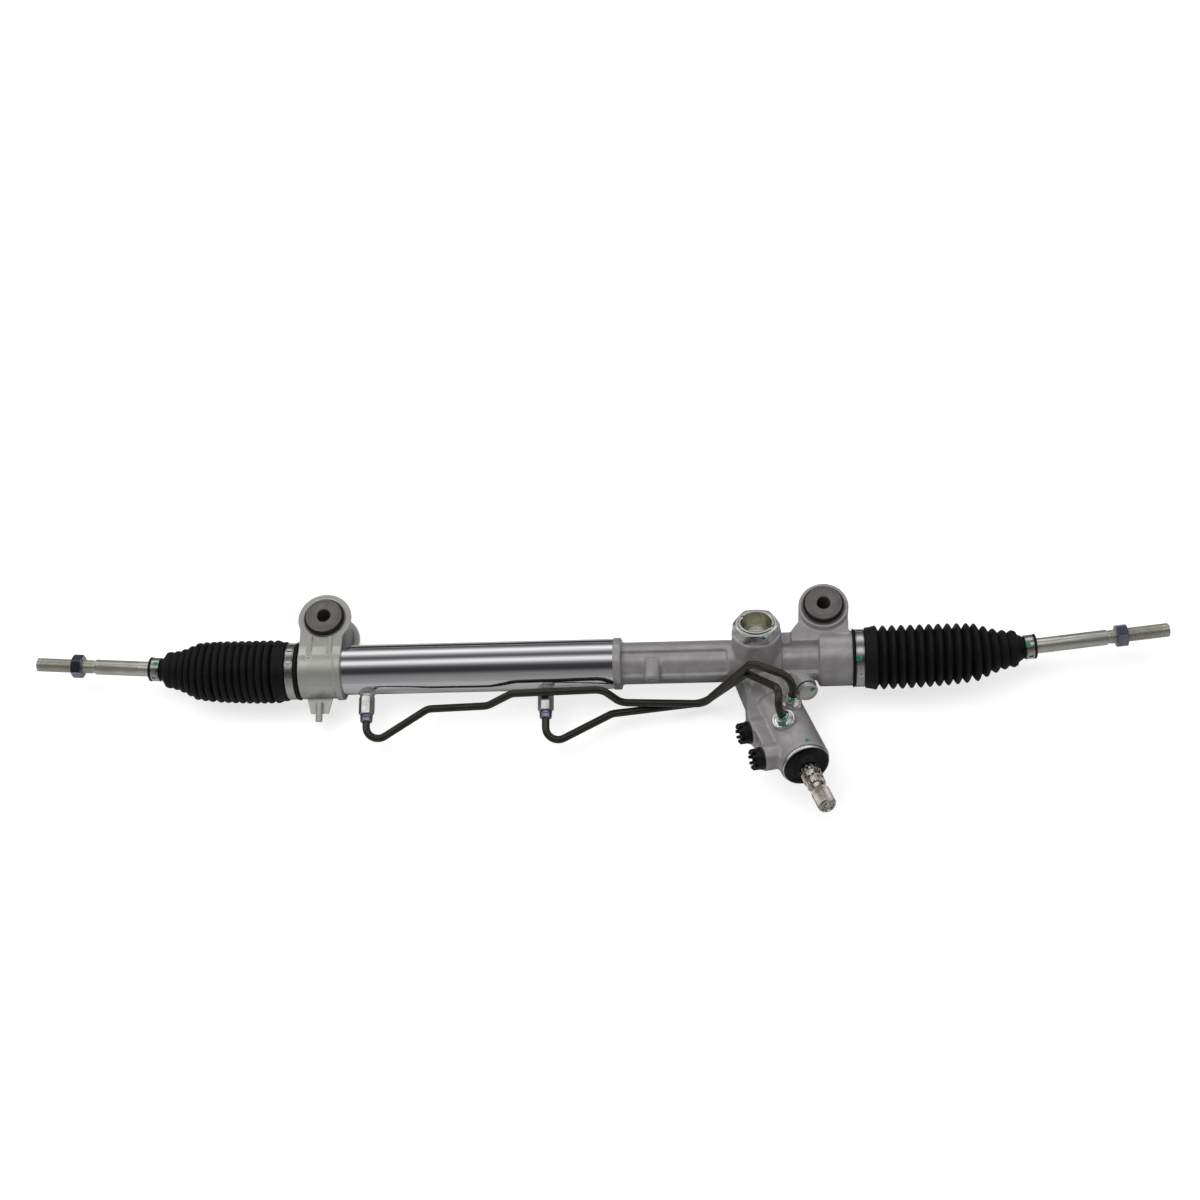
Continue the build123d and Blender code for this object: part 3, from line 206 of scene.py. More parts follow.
def finish_piece(piece, name, body, material, smooth=35, replaces=()):
    """Merge, face outwards, put the origin at the frame's origin and tie the piece to its body when a
    single body is named.
    """
    edit(piece)
    bpy.ops.mesh.remove_doubles(threshold=1e-6)
    bpy.ops.mesh.normals_make_consistent(inside=False)
    pick(piece)
    bpy.ops.object.transform_apply(location=True, rotation=True, scale=True)
    if smooth:
        bpy.ops.object.shade_smooth_by_angle(angle=radians(smooth))
    piece.name = name
    piece.data.name = name
    piece.data.materials.clear()
    piece.data.materials.append(material)
    if isinstance(body, str):
        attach(piece, body)
    else:
        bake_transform(piece)
    if replaces:
        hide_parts(*replaces)
    return piece


def modify(piece, kind, **values):
    """Add a modifier, set its values and apply it."""
    pick(piece)
    bpy.ops.object.modifier_add(type=kind)
    modifier = piece.modifiers[-1]
    for key, value in values.items():
        setattr(modifier, key, value)
    bpy.ops.object.modifier_apply(modifier=modifier.name)


def soften(piece, rounds):
    """Smooth a skin in and out by turns, so that its edges round off and its size stays."""
    for _ in range(rounds):
        modify(piece, "SMOOTH", factor=0.62, iterations=1)
        modify(piece, "SMOOTH", factor=-0.64, iterations=1)


def join(first, *others):
    clear()
    for other in others:
        other.select_set(True)
    first.select_set(True)
    bpy.context.view_layer.objects.active = first
    bpy.ops.object.join()
    return first


def facing(along):
    return up.rotation_difference(Vector(along)).to_euler()


def drawn(stations, sides=64, close=False):
    """A circle extruded from station to station; each station is (centre, radius)."""
    clear()
    along = up
    for before, after in zip(stations, stations[1:]):
        if (after[0] - before[0]).length > 1e-7:
            along = after[0] - before[0]
            break
    centre, radius = stations[0]
    bpy.ops.mesh.primitive_circle_add(
        vertices=sides, radius=radius, location=centre, rotation=facing(along)
    )
    piece = bpy.context.object
    edit(piece)
    for (start, small), (end, large) in zip(stations, stations[1:]):
        bpy.ops.mesh.extrude_region_move(TRANSFORM_OT_translate={"value": end - start})
        bpy.ops.transform.resize(value=(large / small,) * 3, center_override=end)
    if close:
        bpy.ops.mesh.select_all(action="SELECT")
        bpy.ops.mesh.remove_doubles(threshold=1e-6)
        bpy.ops.mesh.fill_holes(sides=0)
    return piece


def turned(point, along, outline, sides=64, close=False):
    """A turned piece about an axis; the outline is (distance, radius) pairs in millimetres."""
    along = Vector(along).normalized()
    return drawn([(point + along * s * MM, r * MM) for s, r in outline], sides, close)


def reshape(piece, point, along, change):
    """Move the vertices of a turned piece; change(s, r, angle) in millimetres gives s and r anew."""
    along = Vector(along).normalized()
    first = up.rotation_difference(along) @ Vector((0, 1, 0))
    second = along.cross(first)
    edit(piece)
    mesh = bmesh.from_edit_mesh(piece.data)
    back = piece.matrix_world.inverted()
    for vert in mesh.verts:
        offset = piece.matrix_world @ vert.co - point
        away = offset.dot(along)
        flat = offset - along * away
        if flat.length > 1e-6:
            angle = degrees(atan2(flat.dot(second), flat.dot(first))) % 360
            far, wide = change(away / MM, flat.length / MM, angle)
            vert.co = back @ (point + along * far * MM + flat.normalized() * wide * MM)
    bmesh.update_edit_mesh(piece.data)
    clear()


def twist(piece, point, along, towards):
    """Turn a piece about its axis until its first vertex looks towards a direction."""
    along = Vector(along).normalized()
    first = up.rotation_difference(along) @ Vector((0, 1, 0))
    flat = Vector(towards) - along * Vector(towards).dot(along)
    angle = atan2(flat.dot(along.cross(first)), flat.dot(first))
    spin = Matrix.Translation(point) @ Matrix.Rotation(angle, 4, along) @ Matrix.Translation(-point)
    piece.matrix_world = spin @ piece.matrix_world


def nut(point, along, start, height, flats, bore, corner):
    """A hexagon nut, chamfered at both ends, with a corner turned towards a direction."""
    face = flats / 2 * 0.97
    tip = flats / 2 / cos(radians(30)) * 0.985
    drop = 0.5
    middle = start + height / 2
    low, high = start + (tip - face) * drop, start + height - (tip - face) * drop
    end = start + height
    outline = (
        (start, bore + 0.5), (start, face), (low, tip), (high, tip), (end, face), (end, bore + 0.5),
        (end - 0.5, bore), (start + 0.5, bore), (start, bore + 0.5),
    )
    piece = turned(point, along, outline, 60, True)

    def hexed(s, r, angle):
        if r < face + 0.01:
            return s, r
        size = min(tip, flats / 2 / cos(radians(angle % 60 - 30)))
        half = height / 2 - max(size - face, 0) * drop
        return (middle + half if s > middle else middle - half), size

    reshape(piece, point, along, hexed)
    twist(piece, point, along, corner)
    return piece


def strip(point, along, rows, radius, kept, thick, sides=180):
    """Part of a thin ring: faces stay where kept(s, angle) is true; angle 0 is -Y and 90 is +Z."""
    along = Vector(along).normalized()
    piece = turned(point, along, [(s, radius) for s in rows], sides)
    edit(piece)

    def lost(centre, normal):
        offset = centre - point
        return not kept(offset.dot(along) / MM, degrees(atan2(offset.z, -offset.y)))

    choose(piece, lost)
    bpy.ops.mesh.delete(type="FACE")
    edit(piece)
    bpy.ops.mesh.normals_make_consistent(inside=False)
    mesh = bmesh.from_edit_mesh(piece.data)
    mesh.faces.ensure_lookup_table()
    face = mesh.faces[0]
    offset = piece.matrix_world @ face.calc_center_median() - point
    outward = (offset - along * offset.dot(along)).dot(piece.matrix_world.to_3x3() @ face.normal)
    if outward < 0:
        bpy.ops.mesh.flip_normals()
    modify(piece, "SOLIDIFY", thickness=thick * MM, offset=1.0)
    modify(piece, "BEVEL", width=0.00018, segments=2, limit_method="ANGLE", angle_limit=radians(40))
    return piece


def copy_node(name):
    """A merged copy of a CAD node, free of its body, to be worked on."""
    clear()
    piece = bpy.data.objects.new(name + "_copy", nodes[name].data.copy())
    bpy.context.scene.collection.objects.link(piece)
    edit(piece)
    bpy.ops.mesh.remove_doubles(threshold=1e-6)
    bpy.ops.mesh.customdata_custom_splitnormals_clear()
    clear()
    return piece


# Shader groups


def group_of(name, inputs, outputs):
    """A shader node group with named sockets."""
    group = bpy.data.node_groups.new(name, "ShaderNodeTree")
    for label, kind, default in inputs:
        socket = group.interface.new_socket(name=label, in_out="INPUT", socket_type=kind)
        if default is not None:
            socket.default_value = default
    for label, kind in outputs:
        group.interface.new_socket(name=label, in_out="OUTPUT", socket_type=kind)
    start = group.nodes.new("NodeGroupInput")
    end = group.nodes.new("NodeGroupOutput")
    return group, start, end


def node(tree, kind, values=(), **settings):
    made = tree.nodes.new("ShaderNode" + kind)
    for key, value in settings.items():
        setattr(made, key, value)
    for socket, value in dict(values).items():
        made.inputs[socket].default_value = value
    return made


def link(tree, source, target):
    tree.links.new(source, target)


def wire(tree, *links):
    """Join sockets; each link is (from node, output, to node, input)."""
    for source, output, target, socket in links:
        tree.links.new(source.outputs[output], target.inputs[socket])


FLOAT, VECTOR = "NodeSocketFloat", "NodeSocketVector"


def grain_group():
    """Fine and coarse noise for bump, and a drift mask for colour and roughness."""
    group, start, end = group_of(
        "Grain",
        [
            ("Vector", VECTOR, None), ("Fine Scale", FLOAT, 900.0), ("Coarse Scale", FLOAT, 60.0),
            ("Coarse Share", FLOAT, 0.4),
        ],
        [("Height", FLOAT), ("Drift", FLOAT)],
    )
    fine = node(group, "TexNoise", {"Detail": 3.0, "Roughness": 0.6})
    coarse = node(group, "TexNoise", {"Detail": 4.0, "Roughness": 0.55})
    mix = node(group, "Mix", data_type="FLOAT")
    for noise, scale in ((fine, "Fine Scale"), (coarse, "Coarse Scale")):
        link(group, start.outputs["Vector"], noise.inputs["Vector"])
        link(group, start.outputs[scale], noise.inputs["Scale"])
    wire(
        group,
        (start, "Coarse Share", mix, "Factor"),
        (fine, "Fac", mix, 2),
        (coarse, "Fac", mix, 3),
    )
    spread = node(group, "MapRange", {"From Min": 0.35, "From Max": 0.65})
    wire(
        group,
        (coarse, "Fac", spread, "Value"),
        (mix, 0, end, "Height"),
        (spread, "Result", end, "Drift"),
    )
    return group


def streak_group():
    """Drawn or ground streaks: noise stretched along one direction of its vector."""
    group, start, end = group_of(
        "Streaks",
        [("Vector", VECTOR, None), ("Stretch", VECTOR, (1.0, 40.0, 40.0)), ("Scale", FLOAT, 30.0)],
        [("Height", FLOAT), ("Mask", FLOAT)],
    )
    mapping = node(group, "Mapping")
    noise = node(group, "TexNoise", {"Detail": 5.0, "Roughness": 0.65})
    spread = node(group, "MapRange", {"From Min": 0.42, "From Max": 0.68})
    wire(
        group,
        (start, "Vector", mapping, "Vector"),
        (start, "Stretch", mapping, "Scale"),
        (mapping, "Vector", noise, "Vector"),
        (start, "Scale", noise, "Scale"),
        (noise, "Fac", spread, "Value"),
        (noise, "Fac", end, "Height"),
        (spread, "Result", end, "Mask"),
    )
    return group


def lathe_group():
    """Fine rings about the local X axis, as a lathe leaves them on a face or a barrel."""
    group, start, end = group_of(
        "Lathe Rings",
        [("Vector", VECTOR, None), ("Rings", FLOAT, 1400.0)],
        [("Height", FLOAT)],
    )
    parts = node(group, "SeparateXYZ")
    flat = node(group, "CombineXYZ")
    length = node(group, "VectorMath", operation="LENGTH")
    place = node(group, "CombineXYZ")
    noise = node(group, "TexNoise", {"Detail": 3.0, "Roughness": 0.7}, noise_dimensions="3D")
    wire(
        group,
        (start, "Vector", parts, "Vector"),
        (parts, "Y", flat, "Y"),
        (parts, "Z", flat, "Z"),
        (flat, "Vector", length, 0),
        (parts, "X", place, "X"),
        (length, "Value", place, "Y"),
        (place, "Vector", noise, "Vector"),
        (start, "Rings", noise, "Scale"),
        (noise, "Fac", end, "Height"),
    )
    return group


def dab_group():
    """A brushed dab of paint round a point, with a ragged edge."""
    group, start, end = group_of(
        "Paint Dab",
        [("Vector", VECTOR, None), ("Place", VECTOR, (0.0, 0.0, 0.0)), ("Radius", FLOAT, 0.003)],
        [("Mask", FLOAT)],
    )
    away = node(group, "VectorMath", operation="DISTANCE")
    noise = node(group, "TexNoise", {"Scale": 420.0, "Detail": 3.0})
    rough = node(group, "Math", {1: 0.0035}, operation="MULTIPLY")
    total = node(group, "Math", operation="ADD")
    shift = node(group, "Math", {1: 0.00175}, operation="SUBTRACT")
    inner = node(group, "Math", {1: 0.8}, operation="MULTIPLY")
    edge = node(group, "MapRange", {"To Min": 1.0, "To Max": 0.0})
    wire(
        group,
        (start, "Vector", away, 0),
        (start, "Place", away, 1),
        (start, "Vector", noise, "Vector"),
        (noise, "Fac", rough, 0),
        (away, "Value", total, 0),
        (rough, "Value", total, 1),
        (total, "Value", shift, 0),
        (start, "Radius", inner, 0),
        (shift, "Value", edge, "Value"),
        (inner, "Value", edge, "From Min"),
        (start, "Radius", edge, "From Max"),
        (edge, "Result", end, "Mask"),
    )
    return group


shared = {}


def shared_group(name):
    """A node group, made once and placed in each material that uses it."""
    makers = {
        "Grain": grain_group, "Streaks": streak_group, "Lathe Rings": lathe_group, "Paint Dab": dab_group,
    }
    if name not in shared:
        shared[name] = makers[name]()
    return shared[name]


class Finish:
    """A material under construction: a Principled shader with bump, drift and dabs feeding it."""

    def __init__(self, name, colour, roughness, metallic=0.0, **plain):
        self.material = bpy.data.materials.new(name)
        self.material.use_nodes = True
        self.tree = self.material.node_tree
        self.shader = self.tree.nodes["Principled BSDF"]
        self.place = node(self.tree, "TexCoord").outputs["Object"]
        self.colour = None
        self.plain_colour = tuple(colour) + (1.0,)
        self.shader.inputs["Base Color"].default_value = self.plain_colour
        self.shader.inputs["Roughness"].default_value = roughness
        self.shader.inputs["Metallic"].default_value = metallic
        self.normal = None
        for socket, value in plain.items():
            self.shader.inputs[socket.replace("_", " ")].default_value = value

    def place_group(self, name, vector=None, **values):
        made = self.tree.nodes.new("ShaderNodeGroup")
        made.node_tree = shared_group(name)
        link(self.tree, vector or self.place, made.inputs["Vector"])
        for socket, value in values.items():
            made.inputs[socket.replace("_", " ")].default_value = value
        return made

    def bump(self, height, strength, distance):
        made = node(self.tree, "Bump", {"Strength": strength, "Distance": distance})
        link(self.tree, height, made.inputs["Height"])
        if self.normal:
            link(self.tree, self.normal, made.inputs["Normal"])
        self.normal = made.outputs["Normal"]
        link(self.tree, self.normal, self.shader.inputs["Normal"])
        return self

    def tint(self, mask, colour):
        """Mix another colour over the present one by a mask."""
        mix = node(self.tree, "Mix", data_type="RGBA")
        link(self.tree, mask, mix.inputs[0])
        if self.colour:
            link(self.tree, self.colour, mix.inputs[6])
        else:
            mix.inputs[6].default_value = self.plain_colour
        mix.inputs[7].default_value = tuple(colour) + (1.0,)
        self.colour = mix.outputs[2]
        link(self.tree, self.colour, self.shader.inputs["Base Color"])
        return self

    def gloss(self, mask, low, high):
        """Let the roughness run between two values by a mask."""
        spread = node(self.tree, "MapRange", {"To Min": low, "To Max": high})
        link(self.tree, mask, spread.inputs["Value"])
        link(self.tree, spread.outputs["Result"], self.shader.inputs["Roughness"])
        return self

    def dabs(self, places, paint):
        """Green inspection paint over the metal."""
        mask = None
        for spot, radius in places:
            made = self.place_group("Paint Dab", Place=spot, Radius=radius)
            if mask is None:
                mask = made.outputs["Mask"]
            else:
                most = node(self.tree, "Math", operation="MAXIMUM")
                link(self.tree, mask, most.inputs[0])
                link(self.tree, made.outputs["Mask"], most.inputs[1])
                mask = most.outputs["Value"]
        self.tint(mask, paint)
        metallic = self.shader.inputs["Metallic"].default_value
        plain = node(self.tree, "MapRange", {"To Min": metallic, "To Max": 0.0})
        link(self.tree, mask, plain.inputs["Value"])
        link(self.tree, plain.outputs["Result"], self.shader.inputs["Metallic"])
        return self

    def about(self, point, along):
        """Object coordinates turned so that local X runs along an axis through a point."""
        turn = Vector((1, 0, 0)).rotation_difference(Vector(along)).inverted().to_euler()
        shift = node(self.tree, "VectorMath", operation="SUBTRACT")
        link(self.tree, self.place, shift.inputs[0])
        shift.inputs[1].default_value = point
        spin = node(self.tree, "Mapping")
        spin.inputs["Rotation"].default_value = turn
        link(self.tree, shift.outputs["Vector"], spin.inputs["Vector"])
        return spin.outputs["Vector"]


def dress(material, *names):
    """Give CAD nodes a finish."""
    for name in names:
        target = nodes[name]
        target.data.materials.clear()
        target.data.materials.append(material)


finishes = {}


def shade(tone, share):
    return [part * share for part in tone]


def lay(
    key, name, tone, roughness, metallic, grain=None, streaks=None, rings=None, tint=None, gloss=None,
    bump=None, dabs=None, specular=None,
):
    """Make a finish: grain or streaks vary its colour and roughness, and they or turned rings its bump."""
    plain = {} if specular is None else {"Specular_IOR_Level": specular}
    made = Finish(name, tone, roughness, metallic, **plain)
    if streaks:
        stretch, scale = streaks
        noise = made.place_group("Streaks", Stretch=stretch, Scale=scale)
        mask = noise.outputs["Mask"]
    else:
        fine, coarse, share = grain
        noise = made.place_group("Grain", Fine_Scale=fine, Coarse_Scale=coarse, Coarse_Share=share)
        mask = noise.outputs["Drift"]
    height = noise.outputs["Height"]
    if rings:
        point, along, count = rings
        height = made.place_group("Lathe Rings", made.about(point, along), Rings=count).outputs["Height"]
    if tint:
        made.tint(mask, tint)
    if gloss:
        made.gloss(mask, *gloss)
    if bump:
        made.bump(height, *bump)
    if dabs:
        made.dabs(dabs, tuple(bpy.context.scene.rack_fittings.paint))
    finishes[key] = made.material
    return made


def make_finishes(scene):
    """Every material of the rack, by a plain name."""
    casting, boots = scene.rack_casting, scene.rack_boots
    rods, fittings = scene.rack_rods, scene.rack_fittings

    lay(
        "cast", "cast_aluminium", casting.colour, 0.36, 0.5, grain=(1100.0, 90.0, 0.3), specular=0.4,
        tint=shade(casting.colour, 0.84), gloss=(0.30, 0.43), bump=(0.32, 0.0006), dabs=cast_dabs,
    )
    lay(
        "bracket", "plated_bracket", casting.bracket, 0.34, 0.6, grain=(500.0, 45.0, 0.7),
        tint=shade(casting.bracket, 0.88), gloss=(0.26, 0.40), bump=(0.12, 0.0006),
    )
    lay(
        "tube", "polished_tube", (0.74, 0.74, 0.76), 0.14, 1.0, streaks=((1.0, 60.0, 60.0), 14.0),
        tint=(0.66, 0.66, 0.68), gloss=(0.06, 0.13), bump=(0.05, 0.0004),
    )
    for key, x in (("left_bush", -bush_x), ("right_bush", bush_x)):
        lay(
            key, key + "_washer", (0.15, 0.135, 0.13), 0.42, 0.55, grain=(300.0, 120.0, 0.6),
            rings=((x, 0, 0), up, 900.0), tint=(0.19, 0.175, 0.17), bump=(0.25, 0.0003),
        )
    lay(
        "shell", "bush_shell_steel", (0.32, 0.31, 0.31), 0.4, 0.9, grain=(600.0, 80.0, 0.5),
        gloss=(0.34, 0.5),
    )
    lay(
        "rubber", "boot_rubber", boots.colour, 0.52, 0.0, grain=(700.0, 70.0, 0.4), specular=0.2,
        tint=shade(boots.colour, 1.5), gloss=(0.46, 0.62), bump=(0.12, 0.0005),
    )
    lay(
        "seal", "bush_rubber", (0.007, 0.007, 0.008), 0.6, 0.0, grain=(800.0, 90.0, 0.4), specular=0.2,
        gloss=(0.5, 0.7), bump=(0.15, 0.0005),
    )
    lay(
        "zinc", "bright_zinc", fittings.zinc, 0.2, 1.0, grain=(700.0, 110.0, 0.6), tint=(0.56, 0.56, 0.52),
        gloss=(0.14, 0.30), bump=(0.08, 0.0005), dabs=zinc_dabs,
    )
    lay(
        "seat", "machined_seat", (0.86, 0.86, 0.85), 0.2, 1.0, grain=(700.0, 140.0, 0.6),
        gloss=(0.16, 0.28),
    )
    lay(
        "guide_nut", "guide_nut_zinc", (0.84, 0.84, 0.83), 0.26, 1.0, grain=(500.0, 90.0, 0.6),
        tint=(0.72, 0.72, 0.70), gloss=(0.20, 0.36), bump=(0.08, 0.0005), dabs=nut_dabs,
    )
    lay(
        "blue", "blue_zinc", (0.30, 0.31, 0.38), 0.2, 1.0, grain=(700.0, 160.0, 0.6),
        tint=(0.20, 0.21, 0.28), gloss=(0.14, 0.28),
    )
    straw = lay(
        "straw", "straw_zinc", (0.66, 0.65, 0.47), 0.26, 1.0, grain=(400.0, 90.0, 0.5),
        rings=(guide_point, guide_dir, 700.0), tint=(0.56, 0.56, 0.44), bump=(0.2, 0.0004),
    )
    height = node(straw.tree, "SeparateXYZ")
    link(straw.tree, straw.about(guide_point, guide_dir), height.inputs["Vector"])
    for low, high in ((0.0514, 0.0520), (0.0376, 0.0366)):
        edge = node(straw.tree, "MapRange", {"From Min": low, "From Max": high})
        link(straw.tree, height.outputs["X"], edge.inputs["Value"])
        straw.tint(edge.outputs["Result"], (0.72, 0.72, 0.71))
    lay(
        "plug", "plug_zinc", (0.56, 0.56, 0.53), 0.34, 0.9, grain=(500.0, 120.0, 0.5),
        gloss=(0.28, 0.44), bump=(0.1, 0.0005), dabs=plug_dabs,
    )
    lay(
        "band", "stainless_band", (0.55, 0.55, 0.53), 0.24, 1.0, streaks=((60.0, 2.0, 2.0), 30.0),
        gloss=(0.18, 0.34), bump=(0.06, 0.0004), dabs=band_dabs,
    )
    lay(
        "pipe", "coated_pipe", fittings.pipe, 0.16, 0.0, grain=(900.0, 120.0, 0.4), specular=0.5,
        tint=shade(fittings.pipe, 1.5), gloss=(0.12, 0.22), bump=(0.05, 0.0004),
    )
    lay(
        "cap", "cap_plastic", (0.006, 0.006, 0.0065), 0.38, 0.0, grain=(1200.0, 160.0, 0.3), specular=0.25,
        gloss=(0.30, 0.46), bump=(0.1, 0.0004),
    )
    lay(
        "cover", "cover_rubber", (0.007, 0.007, 0.007), 0.42, 0.0, grain=(700.0, 60.0, 0.5), specular=0.25,
        gloss=(0.34, 0.58), bump=(0.12, 0.0005),
    )
    for side, _, _, ball, rod_dir, _ in ends:
        lay(
            side + "_rod", side + "_rod_steel", rods.colour, 0.32, 0.85, grain=(500.0, 50.0, 0.6),
            rings=(ball, rod_dir, 260.0), tint=shade(rods.colour, 0.8), gloss=(0.25, 0.38),
            bump=(0.12, 0.0004),
        )
    lay(
        "shaft", "ground_shaft", (0.60, 0.57, 0.53), 0.12, 1.0, grain=(400.0, 120.0, 0.6),
        rings=(pinion_point, pinion_dir, 500.0), tint=(0.36, 0.33, 0.30), bump=(0.15, 0.0003),
    )
    lay(
        "rim", "cover_rim_steel", (0.66, 0.66, 0.65), 0.12, 1.0, grain=(400.0, 120.0, 0.6),
        gloss=(0.10, 0.24),
    )
    lay("inner", "inner_metal", (0.60, 0.59, 0.57), 0.3, 0.95, grain=(500.0, 80.0, 0.5), gloss=(0.22, 0.4))
    lay(
        "liner", "liner_plastic", (0.62, 0.60, 0.52), 0.5, 0.0, grain=(500.0, 80.0, 0.5),
        gloss=(0.42, 0.58),
    )


guide_dir = (pinion_dir - Vector((1, 0, 0)) * pinion_dir.x).normalized().cross(Vector((-1, 0, 0)))
if guide_dir.z < 0:
    guide_dir.negate()
guide_point = pinion_point + guide_dir * 16 * MM
side_dir = pinion_dir.cross(guide_dir)

# Places and sizes of the green inspection paint
cast_dabs = [((0.2396, -0.1672, 0.0589), 0.0026)]
zinc_dabs = [((0.2265, -0.1176, 0.0499), 0.0029), ((0.2179, -0.1449, 0.0586), 0.0029)]
plug_dabs = [((0.2487, -0.0876, 0.0095), 0.0028)]
band_dabs = [
    ((0.2962, -0.0622, 0.0276), 0.0033), ((-0.4446, -0.0417, 0.0125), 0.003),
    ((0.4718, -0.0436, 0.0121), 0.003),
]
nut_dabs = [((0.1991, -0.0500, 0.0539), 0.0025)]


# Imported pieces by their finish
node_finishes = {
    "cast": "gear_housing",
    "bracket": "left_bracket bracket_tab",
    "tube": "cylinder_tube",
    "left_bush": "left_bush_sleeve",
    "right_bush": "right_bush_sleeve",
    "shell": "left_bush_shell right_bush_shell",
    "seal": "left_bush_rubber right_bush_rubber input_seal side_plug_seal",
    "rubber": "left_boot right_boot",
    "band": "left_boot_clamp right_boot_clamp left_boot_clip right_boot_clip",
    "zinc": "guide_lock_nut left_valve_nut right_valve_nut left_cylinder_nut right_cylinder_nut",
    "plug": "side_plug left_port_boss right_port_boss",
    "straw": "guide_plug",
    "pipe": "left_pipe right_pipe",
    "cap": "pressure_port_cap return_port_cap",
    "cover": "dust_cover",
    "left_rod": "left_tie_rod",
    "right_rod": "right_tie_rod",
    "blue": "left_lock_nut right_lock_nut",
    "shaft": "input_shaft pinion torsion_bar retaining_ring",
    "inner": (
        "rack_bar lower_bearing upper_bearing guide_spring valve_sleeve piston end_stopper inner_seal "
        "rack_guide left_ball_socket right_ball_socket left_lock_washer right_lock_washer"
    ),
    "liner": "piston_ring left_ball_seat right_ball_seat rack_bush",
}


class RACK_OT_finishes(bpy.types.Operator):
    """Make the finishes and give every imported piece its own"""

    bl_idname = "rack.finishes"
    bl_label = "Finishes"

    def execute(self, context):
        make_finishes(context.scene)
        for key, names in node_finishes.items():
            dress(finishes[key], *names.split())
        for name, target in nodes.items():
            if len(target.data.materials) != 1 or target.data.materials[0] not in finishes.values():
                raise RuntimeError(name + " has no finish")
        return {"FINISHED"}


def screw_boss():
    """The small boss on the front of the barrel; its foot stays clear of the rack's bore."""
    foot = Vector((0.0836, rack_y, 0.0125))
    outline = (
        (3.0, 0.2), (3.0, 9.0), (14.0, 8.9), (24.0, 8.3), (26.2, 8.1), (27.0, 7.2), (27.0, 3.0),
        (26.0, 2.4),
        (19.0, 2.4), (19.0, 0.2),
    )
    boss = turned(foot, (0, -1, 0), outline, 64, True)
    edit(boss)
    mesh = bmesh.from_edit_mesh(boss.data)
    back = boss.matrix_world.inverted()
    for vert in mesh.verts:
        place = boss.matrix_world @ vert.co
        if abs(place.z) < bore_clear and rack_y - place.y < boss_depth:
            place.y = min(place.y, rack_y - (bore_clear**2 - place.z**2) ** 0.5)
            vert.co = back @ place
    bmesh.update_edit_mesh(boss.data)
    clear()
    return boss


class RACK_OT_casting(bpy.types.Operator):
    """Turn the casting and the sheet bracket into softened skins with rounded joins"""

    bl_idname = "rack.casting"
    bl_label = "Casting and bracket"

    def execute(self, context):
        settings = context.scene.rack_casting
        skin = join(copy_node("gear_housing"), screw_boss())
        modify(skin, "REMESH", mode="VOXEL", voxel_size=settings.cell)
        soften(skin, settings.soften)
        finish_piece(
            skin, "gear_casting", "housing", finishes["cast"], 80, ("gear_housing",)
        )
        skin = copy_node("left_bracket")
        modify(skin, "REMESH", mode="VOXEL", voxel_size=bracket_cell)
        soften(skin, settings.soften)
        finish_piece(
            skin, "bracket_strap", "housing", finishes["bracket"], 80, ("left_bracket",)
        )
        return {"FINISHED"}


def boot_path(start, out, ball, rod_dir, neck_at):
    """The boot's centre line: from the cuff it bends towards the rod; share runs from 0 to 1."""
    cuff_end = Vector((start + out * (0.029 if out < 0 else 0.0275), rack_y, 0))
    neck = ball + rod_dir * (neck_at - 7) * MM

    def centre(share):
        bend = ball * (2 * share * (1 - share)) + neck * share**2 + cuff_end * (1 - share) ** 2
        return Vector((cuff_end.x + (neck.x - cuff_end.x) * share, bend.y, 0))

    return centre, neck


def ridge_outline(ridges, radius, neck, depth, fullness):
    """Share and radius of every ring of a bellows, cuff first, and the index of each valley."""
    count = 2 * ridges + 1
    rise = (0.58, 0.62, 0.695, 0.80, 0.905, 0.935, 0.955, 0.97, 0.98, 0.985, 0.99, 0.995)

    def crest(ridge):
        from_neck = ridges - 1 - ridge
        return radius * rise[from_neck] if 0 <= from_neck < len(rise) else radius

    def valley(ridge):
        low = min(crest(ridge - 1), crest(ridge))
        return max(low - depth * min(1.0, (low - neck) / (0.6 * radius)), neck)

    rings, valleys = [], []
    for ridge in range(ridges):
        valleys.append(len(rings))
        for step in range(10):
            place = step / 5
            low = valley(ridge) if place < 1 else valley(ridge + 1)
            lift = 1 - abs(1 - place) ** fullness
            rings.append(((2 * ridge + place) / count, low + (crest(ridge) - low) * lift))
    valleys.append(len(rings))
    rings.append((2 * ridges / count, max(valley(ridges) - depth / 3, neck)))
    rings[0] = (0.0, radius - 0.0056)
    return rings, valleys


# Outlines of the cuffs: distance from the boot's start and radius, in millimetres
left_cuff = (
    (0.0, 28.6), (0.4, 30.2), (1.2, 30.9), (2.4, 30.9), (3.2, 30.0), (3.6, 29.0), (13.6, 29.0),
    (14.0, 29.6),
    (14.4, 31.2), (15.4, 31.6), (19.0, 31.2), (22.6, 32.8), (24.8, 33.5), (26.4, 33.0), (27.8, 30.2),
)
right_cuff = (
    (0.0, 28.6), (0.4, 30.0), (1.4, 30.6), (2.2, 30.0), (2.6, 29.0), (12.4, 29.0), (12.8, 29.6),
    (13.2, 31.2),
    (14.5, 31.6), (19.0, 32.2), (23.4, 33.4), (24.6, 33.0), (26.0, 30.4),
)


